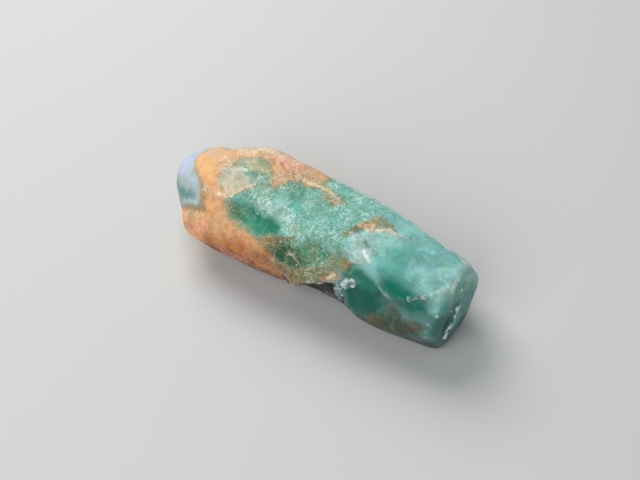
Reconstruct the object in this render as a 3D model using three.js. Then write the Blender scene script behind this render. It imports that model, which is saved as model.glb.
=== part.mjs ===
// An emerald crystal: one six-sided beryl prism with worn edges, lying on one of its faces.
// Its far end tapers to a blunt, smooth tip. A collar of iron-stained crust is grown on behind the tip
// and runs on along the front as a thick skin with a scalloped lip. The near half is clean crystal with
// flat faces, a chipped front face and a bevelled, broken-off end.
// Millimetres. +X runs along the crystal to the broken end, +Y to the back, +Z up.
// Angles go round the axis in degrees: 0 is the back, 90 the top, 180 the front, 270 the underside.
import * as THREE from "three";
import { ImprovedNoise } from "three/addons/math/ImprovedNoise.js";
import { mergeVertices } from "three/addons/utils/BufferGeometryUtils.js";

// Driving dimensions of the prism.
const TIP_X = -9.0;
const END_X = 10.25;
const TIP_ROUND = 1.5;
const BEVEL_LENGTH = 1.0;
const BEVEL_LEFT = 0.72;
const BEVEL_ROUND = 2.6;
const END_LEAN = 0.08;
const END_LEAN_LENGTH = 2.0;
const FACE_COUNT = 6;
const TOP_FACE_ANGLE = 90;
const MIDDLE_HALF_WIDTH = 2.8;

// Half of the width across the flats, along the crystal: thickest where the crust is.
const HALF_WIDTH = [
  [-9.0, 1.0],
  [-7.5, 1.62],
  [-4.7, 2.62],
  [-2.4, 2.84],
  [1.0, 2.84],
  [4.1, 2.8],
  [7.2, 2.62],
  [10.2, 2.22],
];

// Height of the axis over the surface that the crystal lies on.
const AXIS_HEIGHT = [
  [-9.0, 2.42],
  [-6.8, 2.5],
  [-4.7, 2.64],
  [-2.4, 2.8],
  [1.0, 2.81],
  [4.1, 2.77],
  [7.2, 2.6],
  [10.2, 2.4],
];

// How far the axis strays to the back.
const AXIS_DRIFT = [
  [-9.0, 0.5],
  [-6.8, 0.0],
  [-4.7, -0.18],
  [-2.4, -0.04],
  [1.0, 0.1],
  [4.1, 0.04],
  [7.2, -0.12],
  [10.2, -0.2],
];

// How sharp the edges between the faces are: low is round, high is crisp.
const EDGE_SHARPNESS = [
  [-9.0, 4],
  [-6.0, 6],
  [-2.0, 8],
  [2.0, 10],
  [5.0, 15],
  [10.2, 20],
];

// Where the crust ends, as a place along the crystal for each angle round it.
const CRUST_EDGE = [
  [0, -2.0],
  [18, -0.8],
  [40, -1.6],
  [62, -0.4],
  [75, 0.8],
  [84, 3.0],
  [92, 4.5],
  [115, 4.4],
  [138, 5.0],
  [147, 5.3],
  [153, 4.9],
  [163, 4.4],
  [170, 3.7],
  [180, 2.8],
  [200, 2.0],
  [240, 0.1],
  [265, -1.3],
  [290, -0.4],
  [315, -1.8],
  [340, -1.0],
  [360, -2.0],
];

// Thickness of the crust at its edge for each angle: a full lip in front, a mere film on top.
const CRUST_THICKNESS = [
  [0, 0.1],
  [50, 0.14],
  [75, 0.08],
  [110, 0.05],
  [138, 0.1],
  [155, 0.24],
  [200, 0.3],
  [240, 0.2],
  [300, 0.1],
  [360, 0.1],
];
const CRUST_STEP = 0.28;
const SCALLOP_PITCH = 18;
const SCALLOP_REACH = 0.16;

// The chipped face in front, below a ledge that climbs towards the top.
const CHIP_TOP = [
  [5.4, 139],
  [6.2, 136],
  [7.0, 137],
  [7.4, 142],
  [7.8, 146],
  [8.3, 154],
  [8.7, 165],
];
const CHIP_DEPTH = 0.16;
const CHIP_STEP = 0.2;
const CHIP_FOOT = [170, 195];
const CHIP_START = [4.9, 5.9];
const CHIP_STOP = [8.4, 9.0];

// Lumps, hollows and pits: a place on the skin, how far each reaches along and round, and its height.
const RELIEF = [
  { name: "hump on the upper back edge", x: -2.7, angle: 60, along: 1.3, round: 1.0, height: 0.28 },
  { name: "front end of the hump", x: -4.3, angle: 58, along: 0.5, round: 0.9, height: 0.12 },
  { name: "gap behind the collar", x: -5.4, angle: 52, along: 0.34, round: 0.9, height: -0.24 },
  { name: "back of the collar", x: -7.05, angle: 50, along: 0.5, round: 0.9, height: 0.07 },
  { name: "step past the hump", x: -1.3, angle: 50, along: 0.3, round: 0.8, height: -0.06 },
  { name: "back edge past the step", x: -0.4, angle: 48, along: 0.8, round: 0.8, height: 0.12 },
  { name: "lobe of crust in front", x: -5.3, angle: 178, along: 0.8, round: 1.2, height: 0.4 },
  { name: "gap between lobe and tip", x: -5.75, angle: 162, along: 0.5, round: 0.45, height: -0.3 },
  { name: "foot of that gap", x: -6.5, angle: 175, along: 0.4, round: 0.8, height: -0.2 },
  { name: "upper end of that gap", x: -4.9, angle: 154, along: 0.5, round: 0.3, height: -0.16 },
  { name: "shoulder of the tip", x: -7.4, angle: 105, along: 0.7, round: 1.6, height: 0.12 },
  { name: "small knob at the gap", x: -5.1, angle: 149, along: 0.32, round: 0.32, height: 0.14 },
  { name: "swelling of the front crust", x: -1.6, angle: 176, along: 1.2, round: 1.0, height: 0.16 },
  { name: "swelling before the lip", x: 2.45, angle: 196, along: 0.6, round: 0.8, height: 0.19 },
  { name: "notch before the lip", x: 1.1, angle: 203, along: 0.35, round: 0.8, height: -0.17 },
  { name: "clear window by the collar", x: -0.9, angle: 138, along: 1.1, round: 0.6, height: -0.12 },
  { name: "clear window above the lip", x: 1.4, angle: 158, along: 0.9, round: 0.5, height: -0.12 },
  { name: "clear window before the chip", x: 3.6, angle: 142, along: 0.6, round: 0.45, height: -0.08 },
  { name: "clear window on the top", x: 0.7, angle: 94, along: 0.7, round: 0.4, height: -0.08 },
  { name: "clouded window by the hump", x: -2.1, angle: 90, along: 1.1, round: 0.8, height: -0.12 },
  { name: "swelling low on the front face", x: 6.6, angle: 214, along: 1.8, round: 1.4, height: 0.2 },
  { name: "hollow under the lip", x: 3.7, angle: 190, along: 0.9, round: 0.7, height: -0.16 },
  { name: "rough patch below the lip", x: 5.2, angle: 167, along: 0.45, round: 0.7, height: 0.16 },
  { name: "ridge of the curved vein", x: 5.4, angle: 78, along: 0.7, round: 0.35, height: 0.08 },
  { name: "pit in the top face", x: 5.5, angle: 110, along: 0.3, round: 0.3, height: -0.22 },
  { name: "healed crack, near lump", x: 8.85, angle: 135, along: 0.3, round: 0.28, height: 0.1 },
  { name: "healed crack, far lump", x: 9.35, angle: 128, along: 0.3, round: 0.28, height: 0.08 },
  { name: "worn corner", x: 10.0, angle: 82, along: 0.4, round: 0.5, height: 0.08 },
  { name: "foot of the broken end", x: 10.1, angle: 250, along: 0.6, round: 1.0, height: 0.14 },
];

// The flat end has a healed crack that stands proud, from its upper edge down to the front.
const CRACK_TOP = { y: 0.2, z: 1.5 };
const CRACK_FOOT = { y: -1.1, z: -0.9 };
const CRACK_HEIGHT = 0.14;
const CRACK_WIDTH = 0.26;
const CRACK_GRAIN = 0.45;

// Fine unevenness, as wave length and height, for the crust and for the clean crystal.
const CRUST_LUMPS = { size: 1.3, height: 0.1 };
const CRYSTAL_WAVES = { size: 2.6, height: 0.05 };
const COLLAR = { x: -6.4, along: 0.75, height: 0.11 };

// How finely the skin is divided.
const TIP_ROWS = 8;
const BODY_ROWS = 60;
const BEVEL_ROWS = 5;
const END_RINGS = 5;
const COLUMNS = 60;
const MERGE_TOLERANCE = 1e-5;

// Places in the noise field from which each kind of unevenness is read.
const NOISE_SEEDS = { crust: 3.7, crystal: 11.3, crack: 5.1 };

const noise = new ImprovedNoise();
const radians = THREE.MathUtils.degToRad;
const smoothstep = THREE.MathUtils.smoothstep;

// Reads a smooth value from a list of [place, value] pairs.
function readAlong(list, place) {
  const last = list.length - 1;
  if (place <= list[0][0]) {
    return list[0][1];
  }
  if (place >= list[last][0]) {
    return list[last][1];
  }
  let i = 0;
  while (list[i + 1][0] < place) {
    i += 1;
  }
  const slopeAt = (k) => {
    const before = list[Math.max(k - 1, 0)];
    const after = list[Math.min(k + 1, last)];
    return (after[1] - before[1]) / (after[0] - before[0]);
  };
  const [x0, y0] = list[i];
  const [x1, y1] = list[i + 1];
  const width = x1 - x0;
  const t = (place - x0) / width;
  const t2 = t * t;
  const t3 = t2 * t;
  const fromLeft = (2 * t3 - 3 * t2 + 1) * y0 + (t3 - 2 * t2 + t) * width * slopeAt(i);
  const fromRight = (3 * t2 - 2 * t3) * y1 + (t3 - t2) * width * slopeAt(i + 1);
  return fromLeft + fromRight;
}

// Angle in degrees between 0 and 360.
function wrapAngle(angle) {
  return THREE.MathUtils.euclideanModulo(angle, 360);
}

// Shortest way round from one angle to another, in degrees.
function angleBetween(from, to) {
  return wrapAngle(to - from + 180) - 180;
}

// Reach of a rounded hexagon of half width 1, which lies on a flat side, at one angle.
function hexagonReach(angle, sharpness) {
  let sum = 0;
  for (let i = 0; i < FACE_COUNT; i += 1) {
    const faceAngle = TOP_FACE_ANGLE + (360 / FACE_COUNT) * i;
    const lean = Math.cos(radians(angle - faceAngle));
    sum += Math.max(0, lean) ** sharpness;
  }
  return sum ** (-1 / sharpness);
}

// Share of the full section that is left near both ends of the crystal.
function endShare(x) {
  if (x < TIP_X + TIP_ROUND) {
    const t = (TIP_X + TIP_ROUND - x) / TIP_ROUND;
    return Math.sqrt(Math.max(0, 1 - t * t));
  }
  if (x > END_X - BEVEL_LENGTH) {
    const t = (x - END_X + BEVEL_LENGTH) / BEVEL_LENGTH;
    const round = Math.max(0, 1 - t ** BEVEL_ROUND) ** (1 / BEVEL_ROUND);
    return BEVEL_LEFT + (1 - BEVEL_LEFT) * round;
  }
  return 1;
}

// Noise between about -1 and 1 that meets itself all the way round the axis.
function skinNoise(x, angle, size, seed) {
  const reach = MIDDLE_HALF_WIDTH / size;
  const turn = radians(angle);
  return noise.noise(x / size + seed, Math.cos(turn) * reach + seed, Math.sin(turn) * reach - seed);
}

// Place along the crystal where the crust ends at one angle, with its scallops.
function crustEdge(angle) {
  const scallop = Math.abs(Math.sin((Math.PI * angle) / SCALLOP_PITCH));
  return readAlong(CRUST_EDGE, angle) + SCALLOP_REACH * scallop;
}

// How much of the crust lies on the skin: 1 on the crust, 0 on clean crystal.
function crustCover(x, angle) {
  const beyond = x - crustEdge(angle);
  return 1 - smoothstep(beyond, -CRUST_STEP / 2, CRUST_STEP / 2);
}

// Depth of the chip in the front face.
function chipDepth(x, angle, reach) {
  const below = radians(angle - readAlong(CHIP_TOP, x)) * reach;
  const entered = smoothstep(below, 0, CHIP_STEP);
  const foot = 1 - smoothstep(angle, ...CHIP_FOOT);
  const start = smoothstep(x, ...CHIP_START);
  const stop = 1 - smoothstep(x, ...CHIP_STOP);
  return CHIP_DEPTH * entered * foot * start * stop;
}

// Height of all named lumps and hollows at one place.
function reliefHeight(x, angle, reach) {
  let height = 0;
  for (const lump of RELIEF) {
    const along = (x - lump.x) / lump.along;
    const round = (radians(angleBetween(lump.angle, angle)) * reach) / lump.round;
    height += lump.height * Math.exp(-(along * along + round * round));
  }
  return height;
}

// Height of the crust over the crystal at one place.
function crustHeight(x, angle) {
  const cover = crustCover(x, angle);
  const lumps = CRUST_LUMPS.height * skinNoise(x, angle, CRUST_LUMPS.size, NOISE_SEEDS.crust);
  const collarPlace = (x - COLLAR.x) / COLLAR.along;
  const collar = COLLAR.height * Math.exp(-collarPlace * collarPlace);
  const onBody = smoothstep(x, TIP_X + TIP_ROUND, COLLAR.x);
  return onBody * cover * (readAlong(CRUST_THICKNESS, angle) + lumps) + collar;
}

// The broken end leans out at its top: the shift along the crystal at one height over the axis.
function endLean(x, rise) {
  return END_LEAN * rise * smoothstep(x, END_X - END_LEAN_LENGTH, END_X);
}

// One point of the skin. What would reach below the resting face is flat on it.
function skinPoint(x, angle, share) {
  const halfWidth = readAlong(HALF_WIDTH, x);
  const hexagon = halfWidth * hexagonReach(angle, readAlong(EDGE_SHARPNESS, x));
  const waves = CRYSTAL_WAVES.height * skinNoise(x, angle, CRYSTAL_WAVES.size, NOISE_SEEDS.crystal);
  const raised = crustHeight(x, angle) + reliefHeight(x, angle, halfWidth) + waves;
  const reach = share * (hexagon + raised - chipDepth(x, angle, halfWidth));
  const turn = radians(angle);
  const y = readAlong(AXIS_DRIFT, x) + reach * Math.cos(turn);
  const z = readAlong(AXIS_HEIGHT, x) + reach * Math.sin(turn);
  return new THREE.Vector3(x + endLean(x, reach * Math.sin(turn)), y, Math.max(0, z));
}

// How far the flat end stands out where the healed crack crosses it.
function crackHeight(y, z) {
  const runY = CRACK_FOOT.y - CRACK_TOP.y;
  const runZ = CRACK_FOOT.z - CRACK_TOP.z;
  const length = Math.hypot(runY, runZ);
  const off = ((y - CRACK_TOP.y) * runZ - (z - CRACK_TOP.z) * runY) / length;
  const ridge = Math.exp(-((off / CRACK_WIDTH) ** 2));
  return CRACK_HEIGHT * ridge * (1 + noise.noise(y / CRACK_GRAIN, z / CRACK_GRAIN, NOISE_SEEDS.crack));
}

// Places of the rows along the crystal, with the share of the section that each keeps.
function rowPlaces() {
  const rows = [];
  for (let i = 1; i <= TIP_ROWS; i += 1) {
    const turn = (i / TIP_ROWS) * (Math.PI / 2);
    rows.push(TIP_X + TIP_ROUND * (1 - Math.cos(turn)));
  }
  const bodyStart = TIP_X + TIP_ROUND;
  const bodyEnd = END_X - BEVEL_LENGTH;
  for (let i = 1; i <= BODY_ROWS; i += 1) {
    rows.push(bodyStart + ((bodyEnd - bodyStart) * i) / BODY_ROWS);
  }
  for (let i = 1; i <= BEVEL_ROWS; i += 1) {
    const turn = (i / BEVEL_ROWS) * (Math.PI / 2);
    rows.push(bodyEnd + BEVEL_LENGTH * Math.sin(turn));
  }
  return rows;
}

// The whole skin as one closed grid: a pole at the tip, rows along the body, rings over the flat end.
function crystalGeometry() {
  const points = [];
  const tipPole = new THREE.Vector3(TIP_X, readAlong(AXIS_DRIFT, TIP_X), readAlong(AXIS_HEIGHT, TIP_X));
  points.push(tipPole);
  const rows = rowPlaces();
  for (const x of rows) {
    for (let j = 0; j < COLUMNS; j += 1) {
      points.push(skinPoint(x, (360 * j) / COLUMNS, endShare(x)));
    }
  }
  const endY = readAlong(AXIS_DRIFT, END_X);
  const endZ = readAlong(AXIS_HEIGHT, END_X);
  const rim = points.slice(-COLUMNS);
  for (let ring = 1; ring < END_RINGS; ring += 1) {
    const share = 1 - ring / END_RINGS;
    for (const point of rim) {
      const y = (point.y - endY) * share;
      const z = (point.z - endZ) * share;
      const x = END_X + endLean(END_X, z) + crackHeight(y, z);
      points.push(new THREE.Vector3(x, endY + y, endZ + z));
    }
  }
  points.push(new THREE.Vector3(END_X + crackHeight(0, 0), endY, endZ));

  const faces = [];
  const gridRows = rows.length + END_RINGS - 1;
  const at = (row, column) => 1 + row * COLUMNS + (column % COLUMNS);
  for (let j = 0; j < COLUMNS; j += 1) {
    faces.push(0, at(0, j + 1), at(0, j));
    for (let i = 0; i < gridRows - 1; i += 1) {
      faces.push(at(i, j), at(i, j + 1), at(i + 1, j + 1));
      faces.push(at(i, j), at(i + 1, j + 1), at(i + 1, j));
    }
    faces.push(at(gridRows - 1, j), at(gridRows - 1, j + 1), points.length - 1);
  }
  const geometry = new THREE.BufferGeometry().setFromPoints(points);
  geometry.setIndex(faces);
  return mergeVertices(geometry, MERGE_TOLERANCE);
}

// Puts the middle of the footprint over the origin. The resting face is at height 0 already.
function centreFootprint(geometry) {
  geometry.computeBoundingBox();
  const middle = geometry.boundingBox.getCenter(new THREE.Vector3());
  geometry.translate(-middle.x, -middle.y, 0);
}

function emeraldCrystal() {
  const geometry = crystalGeometry();
  centreFootprint(geometry);
  geometry.computeVertexNormals();
  const stone = new THREE.MeshStandardMaterial({ color: 0x7fae97, roughness: 0.45, metalness: 0 });
  const mesh = new THREE.Mesh(geometry, stone);
  mesh.name = "emerald_crystal";
  return mesh;
}

const model = new THREE.Group();
model.add(emeraldCrystal());

export default model;
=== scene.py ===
"""The looks of a cloudy emerald crystal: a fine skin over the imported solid, its markings and its surface.

Places on the skin are given in millimetres along the crystal (x) and in degrees round its axis:
0 is the back, 90 the top, 180 the front and 270 the underside. Angles run from -45 to 315.
Places on the broken end are given in millimetres across it (y) and up it (z).
"""
import functools
import itertools
import math
from collections import namedtuple

import bpy
import numpy as np
from mathutils import Matrix, Vector
from mathutils.bvhtree import BVHTree


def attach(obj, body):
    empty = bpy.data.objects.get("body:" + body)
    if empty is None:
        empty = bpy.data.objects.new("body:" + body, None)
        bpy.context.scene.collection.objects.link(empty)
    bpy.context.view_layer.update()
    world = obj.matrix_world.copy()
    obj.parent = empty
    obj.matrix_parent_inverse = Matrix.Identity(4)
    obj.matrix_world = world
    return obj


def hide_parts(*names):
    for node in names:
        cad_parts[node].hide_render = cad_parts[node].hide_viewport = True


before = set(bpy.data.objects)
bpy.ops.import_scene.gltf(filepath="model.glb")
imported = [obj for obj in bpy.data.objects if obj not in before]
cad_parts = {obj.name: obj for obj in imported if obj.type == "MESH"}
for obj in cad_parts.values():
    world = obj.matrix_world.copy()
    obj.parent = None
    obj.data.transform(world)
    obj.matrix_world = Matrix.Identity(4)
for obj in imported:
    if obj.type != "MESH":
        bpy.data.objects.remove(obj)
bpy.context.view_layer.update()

NODE = "emerald_crystal"
MM = 0.001

# The camera, as it stands to the crystal, in millimetres and degrees.
CAMERA_TARGET = (0.988, -0.131, 2.8)
CAMERA_DISTANCE = 56.0
CAMERA_AZIMUTH = 43.28
CAMERA_ELEVATION = 46.51
CAMERA_ROLL = -8.59
LENS = 59.13
SENSOR_WIDTH = 36.0
CLIP_START = 1.0

# The floor, in millimetres.
FLOOR_WIDTH = 3000.0
FLOOR_COLOUR = (0.62, 0.62, 0.61, 1.0)
FLOOR_ROUGHNESS = 0.85

# The even light from everywhere.
SURROUND_COLOUR = (0.8, 0.85, 0.9, 1.0)
SURROUND_STRENGTH = 0.24

# The line inside the crystal from which its skin is measured, the radius by which degrees round it are
# turned into millimetres, and the angle at which they start.
AXIS_START = np.array([-8.3, 0.4, 2.45])
AXIS_END = np.array([8.3, -0.1, 2.45])
SKIN_RADIUS = 2.8
LOWEST_ANGLE = -45.0

# How finely the skin is divided, over the tip, along the body, over the broken end and round it, and how
# many rows and columns its smoothing takes in.
TIP_ROWS = 40
BODY_ROWS = 255
END_ROWS = 50
COLUMNS = 264
SMOOTHING_ROWS = 1.6
SMOOTHING_COLUMNS = 1.8

# Millimetres on the skin for one step of a marking's two measures, round the skin and on the broken end.
SKIN_UNIT = np.array([1.0, math.radians(1.0) * SKIN_RADIUS])
END_UNIT = np.array([1.0, 1.0])

# A finish is a colour with the share of white flecks, of earthy grain and of gloss that goes with it.
Finish = namedtuple("Finish", "red green blue flecks grain gloss")
SHARES = Finish._fields[3:]
FINISH_SIZE = len(Finish._fields)

TIP_PALE = Finish(0.531, 0.609, 0.757, 0.05, 0.00, 0.50)
TIP_MILK = Finish(0.408, 0.473, 0.458, 0.08, 0.00, 0.50)
TIP_TEAL = Finish(0.110, 0.284, 0.284, 0.10, 0.00, 0.50)
TIP_SHADE = Finish(0.06, 0.12, 0.15, 0.10, 0.00, 0.50)
COLLAR = Finish(0.826, 0.478, 0.204, 0.00, 0.05, 0.35)
COLLAR_PALE = Finish(0.674, 0.471, 0.313, 0.00, 0.10, 0.30)
PEACH = Finish(0.769, 0.396, 0.155, 0.00, 0.28, 0.20)
# PEACH_TAN and EARTH are darkened with painted shade where they lie on the crust's lower front.
PEACH_TAN = Finish(0.506, 0.167, 0.014, 0.00, 0.30, 0.15)
PEACH_PINK = Finish(0.902, 0.309, 0.127, 0.00, 0.50, 0.20)
PINK = Finish(0.502, 0.105, 0.038, 0.00, 0.50, 0.15)
EARTH = Finish(0.152, 0.048, 0.002, 0.00, 0.50, 0.10)
# RUST also serves as the painted shadow under the lip's scallop and edge.
RUST = Finish(0.154, 0.009, 0.001, 0.00, 0.40, 0.10)
CREAM = Finish(0.837, 0.666, 0.398, 0.00, 0.70, 0.15)
CREAM_WHITE = Finish(0.610, 0.684, 0.573, 0.35, 0.10, 0.20)
OCHRE_BROWN = Finish(0.577, 0.423, 0.127, 0.10, 0.90, 0.15)
MILK_PATCH = Finish(0.594, 0.502, 0.348, 0.50, 0.05, 0.25)
SAGE = Finish(0.460, 0.502, 0.297, 0.65, 0.10, 0.25)
TEAL = Finish(0.078, 0.292, 0.193, 0.60, 0.00, 0.40)
MINT = Finish(0.201, 0.574, 0.459, 0.80, 0.00, 0.35)
AQUA_VEIL = Finish(0.329, 0.590, 0.447, 0.90, 0.00, 0.35)
WINDOW = Finish(0.048, 0.308, 0.174, 0.45, 0.00, 0.85)
WINDOW_DARK = Finish(0.024, 0.249, 0.152, 0.15, 0.00, 0.95)
WINDOW_OLIVE = Finish(0.023, 0.067, 0.017, 0.50, 0.10, 0.70)
GREEN = Finish(0.096, 0.196, 0.073, 0.60, 0.00, 0.60)
OLIVE = Finish(0.187, 0.077, 0.002, 0.50, 0.35, 0.30)
OLIVE_CREAM = Finish(0.246, 0.242, 0.079, 0.90, 0.15, 0.30)
TAN = Finish(0.233, 0.249, 0.102, 0.50, 0.10, 0.40)
ORANGE_SPOT = Finish(0.326, 0.208, 0.007, 0.15, 0.50, 0.30)
WHITE_VEIL = Finish(0.397, 0.568, 0.515, 0.50, 0.00, 0.45)
WHITE_CRUST = Finish(0.151, 0.312, 0.290, 0.90, 0.00, 0.30)
PALE = Finish(0.239, 0.549, 0.504, 0.28, 0.00, 0.55)
PALE_MIST = Finish(0.284, 0.592, 0.530, 0.45, 0.00, 0.50)
CLEAR_TEAL = Finish(0.010, 0.288, 0.211, 0.20, 0.00, 0.60)
EMERALD = Finish(0.000, 0.183, 0.114, 0.00, 0.00, 0.95)
FOREST = Finish(0.009, 0.107, 0.074, 0.05, 0.00, 0.80)
# Also the painted shade of the front faces, with the stone's deeper green.
FOREST_GREEN = Finish(0.001, 0.043, 0.024, 0.08, 0.00, 0.80)
HEAD_GREEN = Finish(0.016, 0.194, 0.127, 0.12, 0.00, 0.70)
FOREST_GREY = Finish(0.017, 0.112, 0.081, 0.20, 0.00, 0.60)
DEEP_SHADE = Finish(0.000, 0.000, 0.001, 0.12, 0.00, 0.60)
STAIN = Finish(0.038, 0.044, 0.012, 0.36, 0.05, 0.40)
STAIN_BROWN = Finish(0.062, 0.036, 0.006, 0.10, 0.30, 0.30)
SLATE_IN_PAINTED_SHADE = Finish(0.006, 0.007, 0.002, 0.15, 0.10, 0.20)
LILAC = Finish(0.057, 0.047, 0.075, 0.60, 0.05, 0.20)
END_GREEN = Finish(0.100, 0.360, 0.300, 0.20, 0.00, 0.50)
END_PALE = Finish(0.390, 0.680, 0.620, 0.30, 0.00, 0.45)
OLIVE_PALE = Finish(0.620, 0.680, 0.420, 0.20, 0.00, 0.30)
ARC_ORANGE = Finish(0.800, 0.500, 0.180, 0.10, 0.50, 0.20)
# SNOW is also the colour of the painted highlights on the rims.
SNOW = Finish(0.850, 0.930, 0.930, 0.50, 0.00, 0.40)

# A marking of the skin. An area is an outline of (x, angle) corners, a line has a width and a spot is a soft
# oval. Soft is how far an edge fades and rag how far it strays. Strength is how much of what lies below is
# hidden. Height is how far the marking stands up or lies deep. Sizes are in millimetres. A marking with no
# finish is only relief.
Area = namedtuple("Area", "name finish outline soft rag strength height", defaults=(0.12, 0.12, 1.0, 0.0))
Line = namedtuple("Line", "name finish points width soft rag strength height",
                  defaults=(0.06, 0.06, 1.0, 0.0))
Spot = namedtuple("Spot", "name finish x angle along round strength height", defaults=(1.0, 0.0))


def several(kind, name, finish, *rows):
    """Markings that share their kind, name and finish, one for each row of their other values."""
    return [kind(name, finish, *row) for row in rows]


# Each list of markings runs from the lowest layer to the top one.
TIP_MARKINGS = [
    Area("milk of the tip", TIP_MILK, [(-8.3, 40), (-8.1, 85), (-8.2, 120), (-8.35, 140), (-8.3, 175),
        (-8, 240), (-8.2, 330), (-4, 330), (-4, -60), (-8.2, -60)], 0.5, 0.2),
    # The top of the tip: pale milky stone with a blue-white painted highlight.
    Area("pale top of the tip", TIP_PALE, [(-9.8, 50), (-9.8, 125), (-8.6, 138), (-8, 134), (-7.5, 122),
        (-7.2, 112), (-7.4, 95), (-7.6, 75), (-8, 50)], 0.35, 0.1, 0.9),
    Area("teal of the tip", TIP_TEAL, [(-8.6, 148), (-7.9, 149), (-7.2, 146), (-6.4, 141), (-5.8, 142),
        (-5.8, 147), (-6.5, 153), (-7.4, 161), (-8.1, 164), (-8.7, 160)], 0.32, 0.1),
    Area("underside of the tip", TIP_SHADE, [(-9, 166), (-8, 170), (-7.2, 173), (-7, 182), (-7.4, 210),
        (-8.6, 230), (-9.4, 200)], 0.35, 0.1, 0.8),
    Area("pale band of the tip", TIP_PALE, [(-7.6, 123), (-6.6, 126), (-5.9, 129), (-6.1, 134), (-6.8, 136),
        (-7.6, 133)], 0.25, 0.05, 0.45),
    Line("pale edge of the notch", CREAM_WHITE, [(-6.8, 157.5), (-6.2, 152.5), (-5.85, 150), (-5.6, 149.5)],
        0.12, 0.12, 0.04, 0.55, 0.04),
]

CRUST_OUTLINE = [
    (-7.9, -60), (-7.9, 40), (-7.5, 70), (-7.55, 90), (-7.4, 103), (-7, 112), (-6.3, 119), (-5.8, 124),
    (-5.5, 130), (-5.35, 137), (-5.2, 144), (-4.95, 150), (-5.4, 154), (-6, 158), (-6.5, 163), (-7, 170),
    (-7.35, 180), (-7.4, 200), (-7.3, 230), (-7.4, 260), (-7.6, 290), (-7.9, 330), (-2.4, 330), (-1.2, 295),
    (-2.1, 265), (-0.7, 240), (0.4, 215), (1.1, 198), (1.3, 185), (1.2, 170), (0.4, 168), (-0.3, 163),
    (-0.7, 156), (-1.3, 151), (-2, 149), (-2.7, 147), (-3.3, 143), (-3.55, 137), (-3.65, 130), (-4.1, 126),
    (-4.5, 119), (-4.85, 112), (-4.95, 105), (-4.7, 99), (-4.75, 92), (-4.6, 84), (-4, 80), (-3, 78),
    (-2.3, 83), (-1.9, 91), (-1.6, 97), (-1.3, 96), (-1.05, 90), (-0.85, 82), (-0.3, 79), (0.3, 78),
    (0.5, 70), (0.4, 60), (-0.3, 46), (-1.1, 32), (-1, 14), (-1.6, -8), (-1.5, -32), (-2.1, -60),
]

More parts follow.
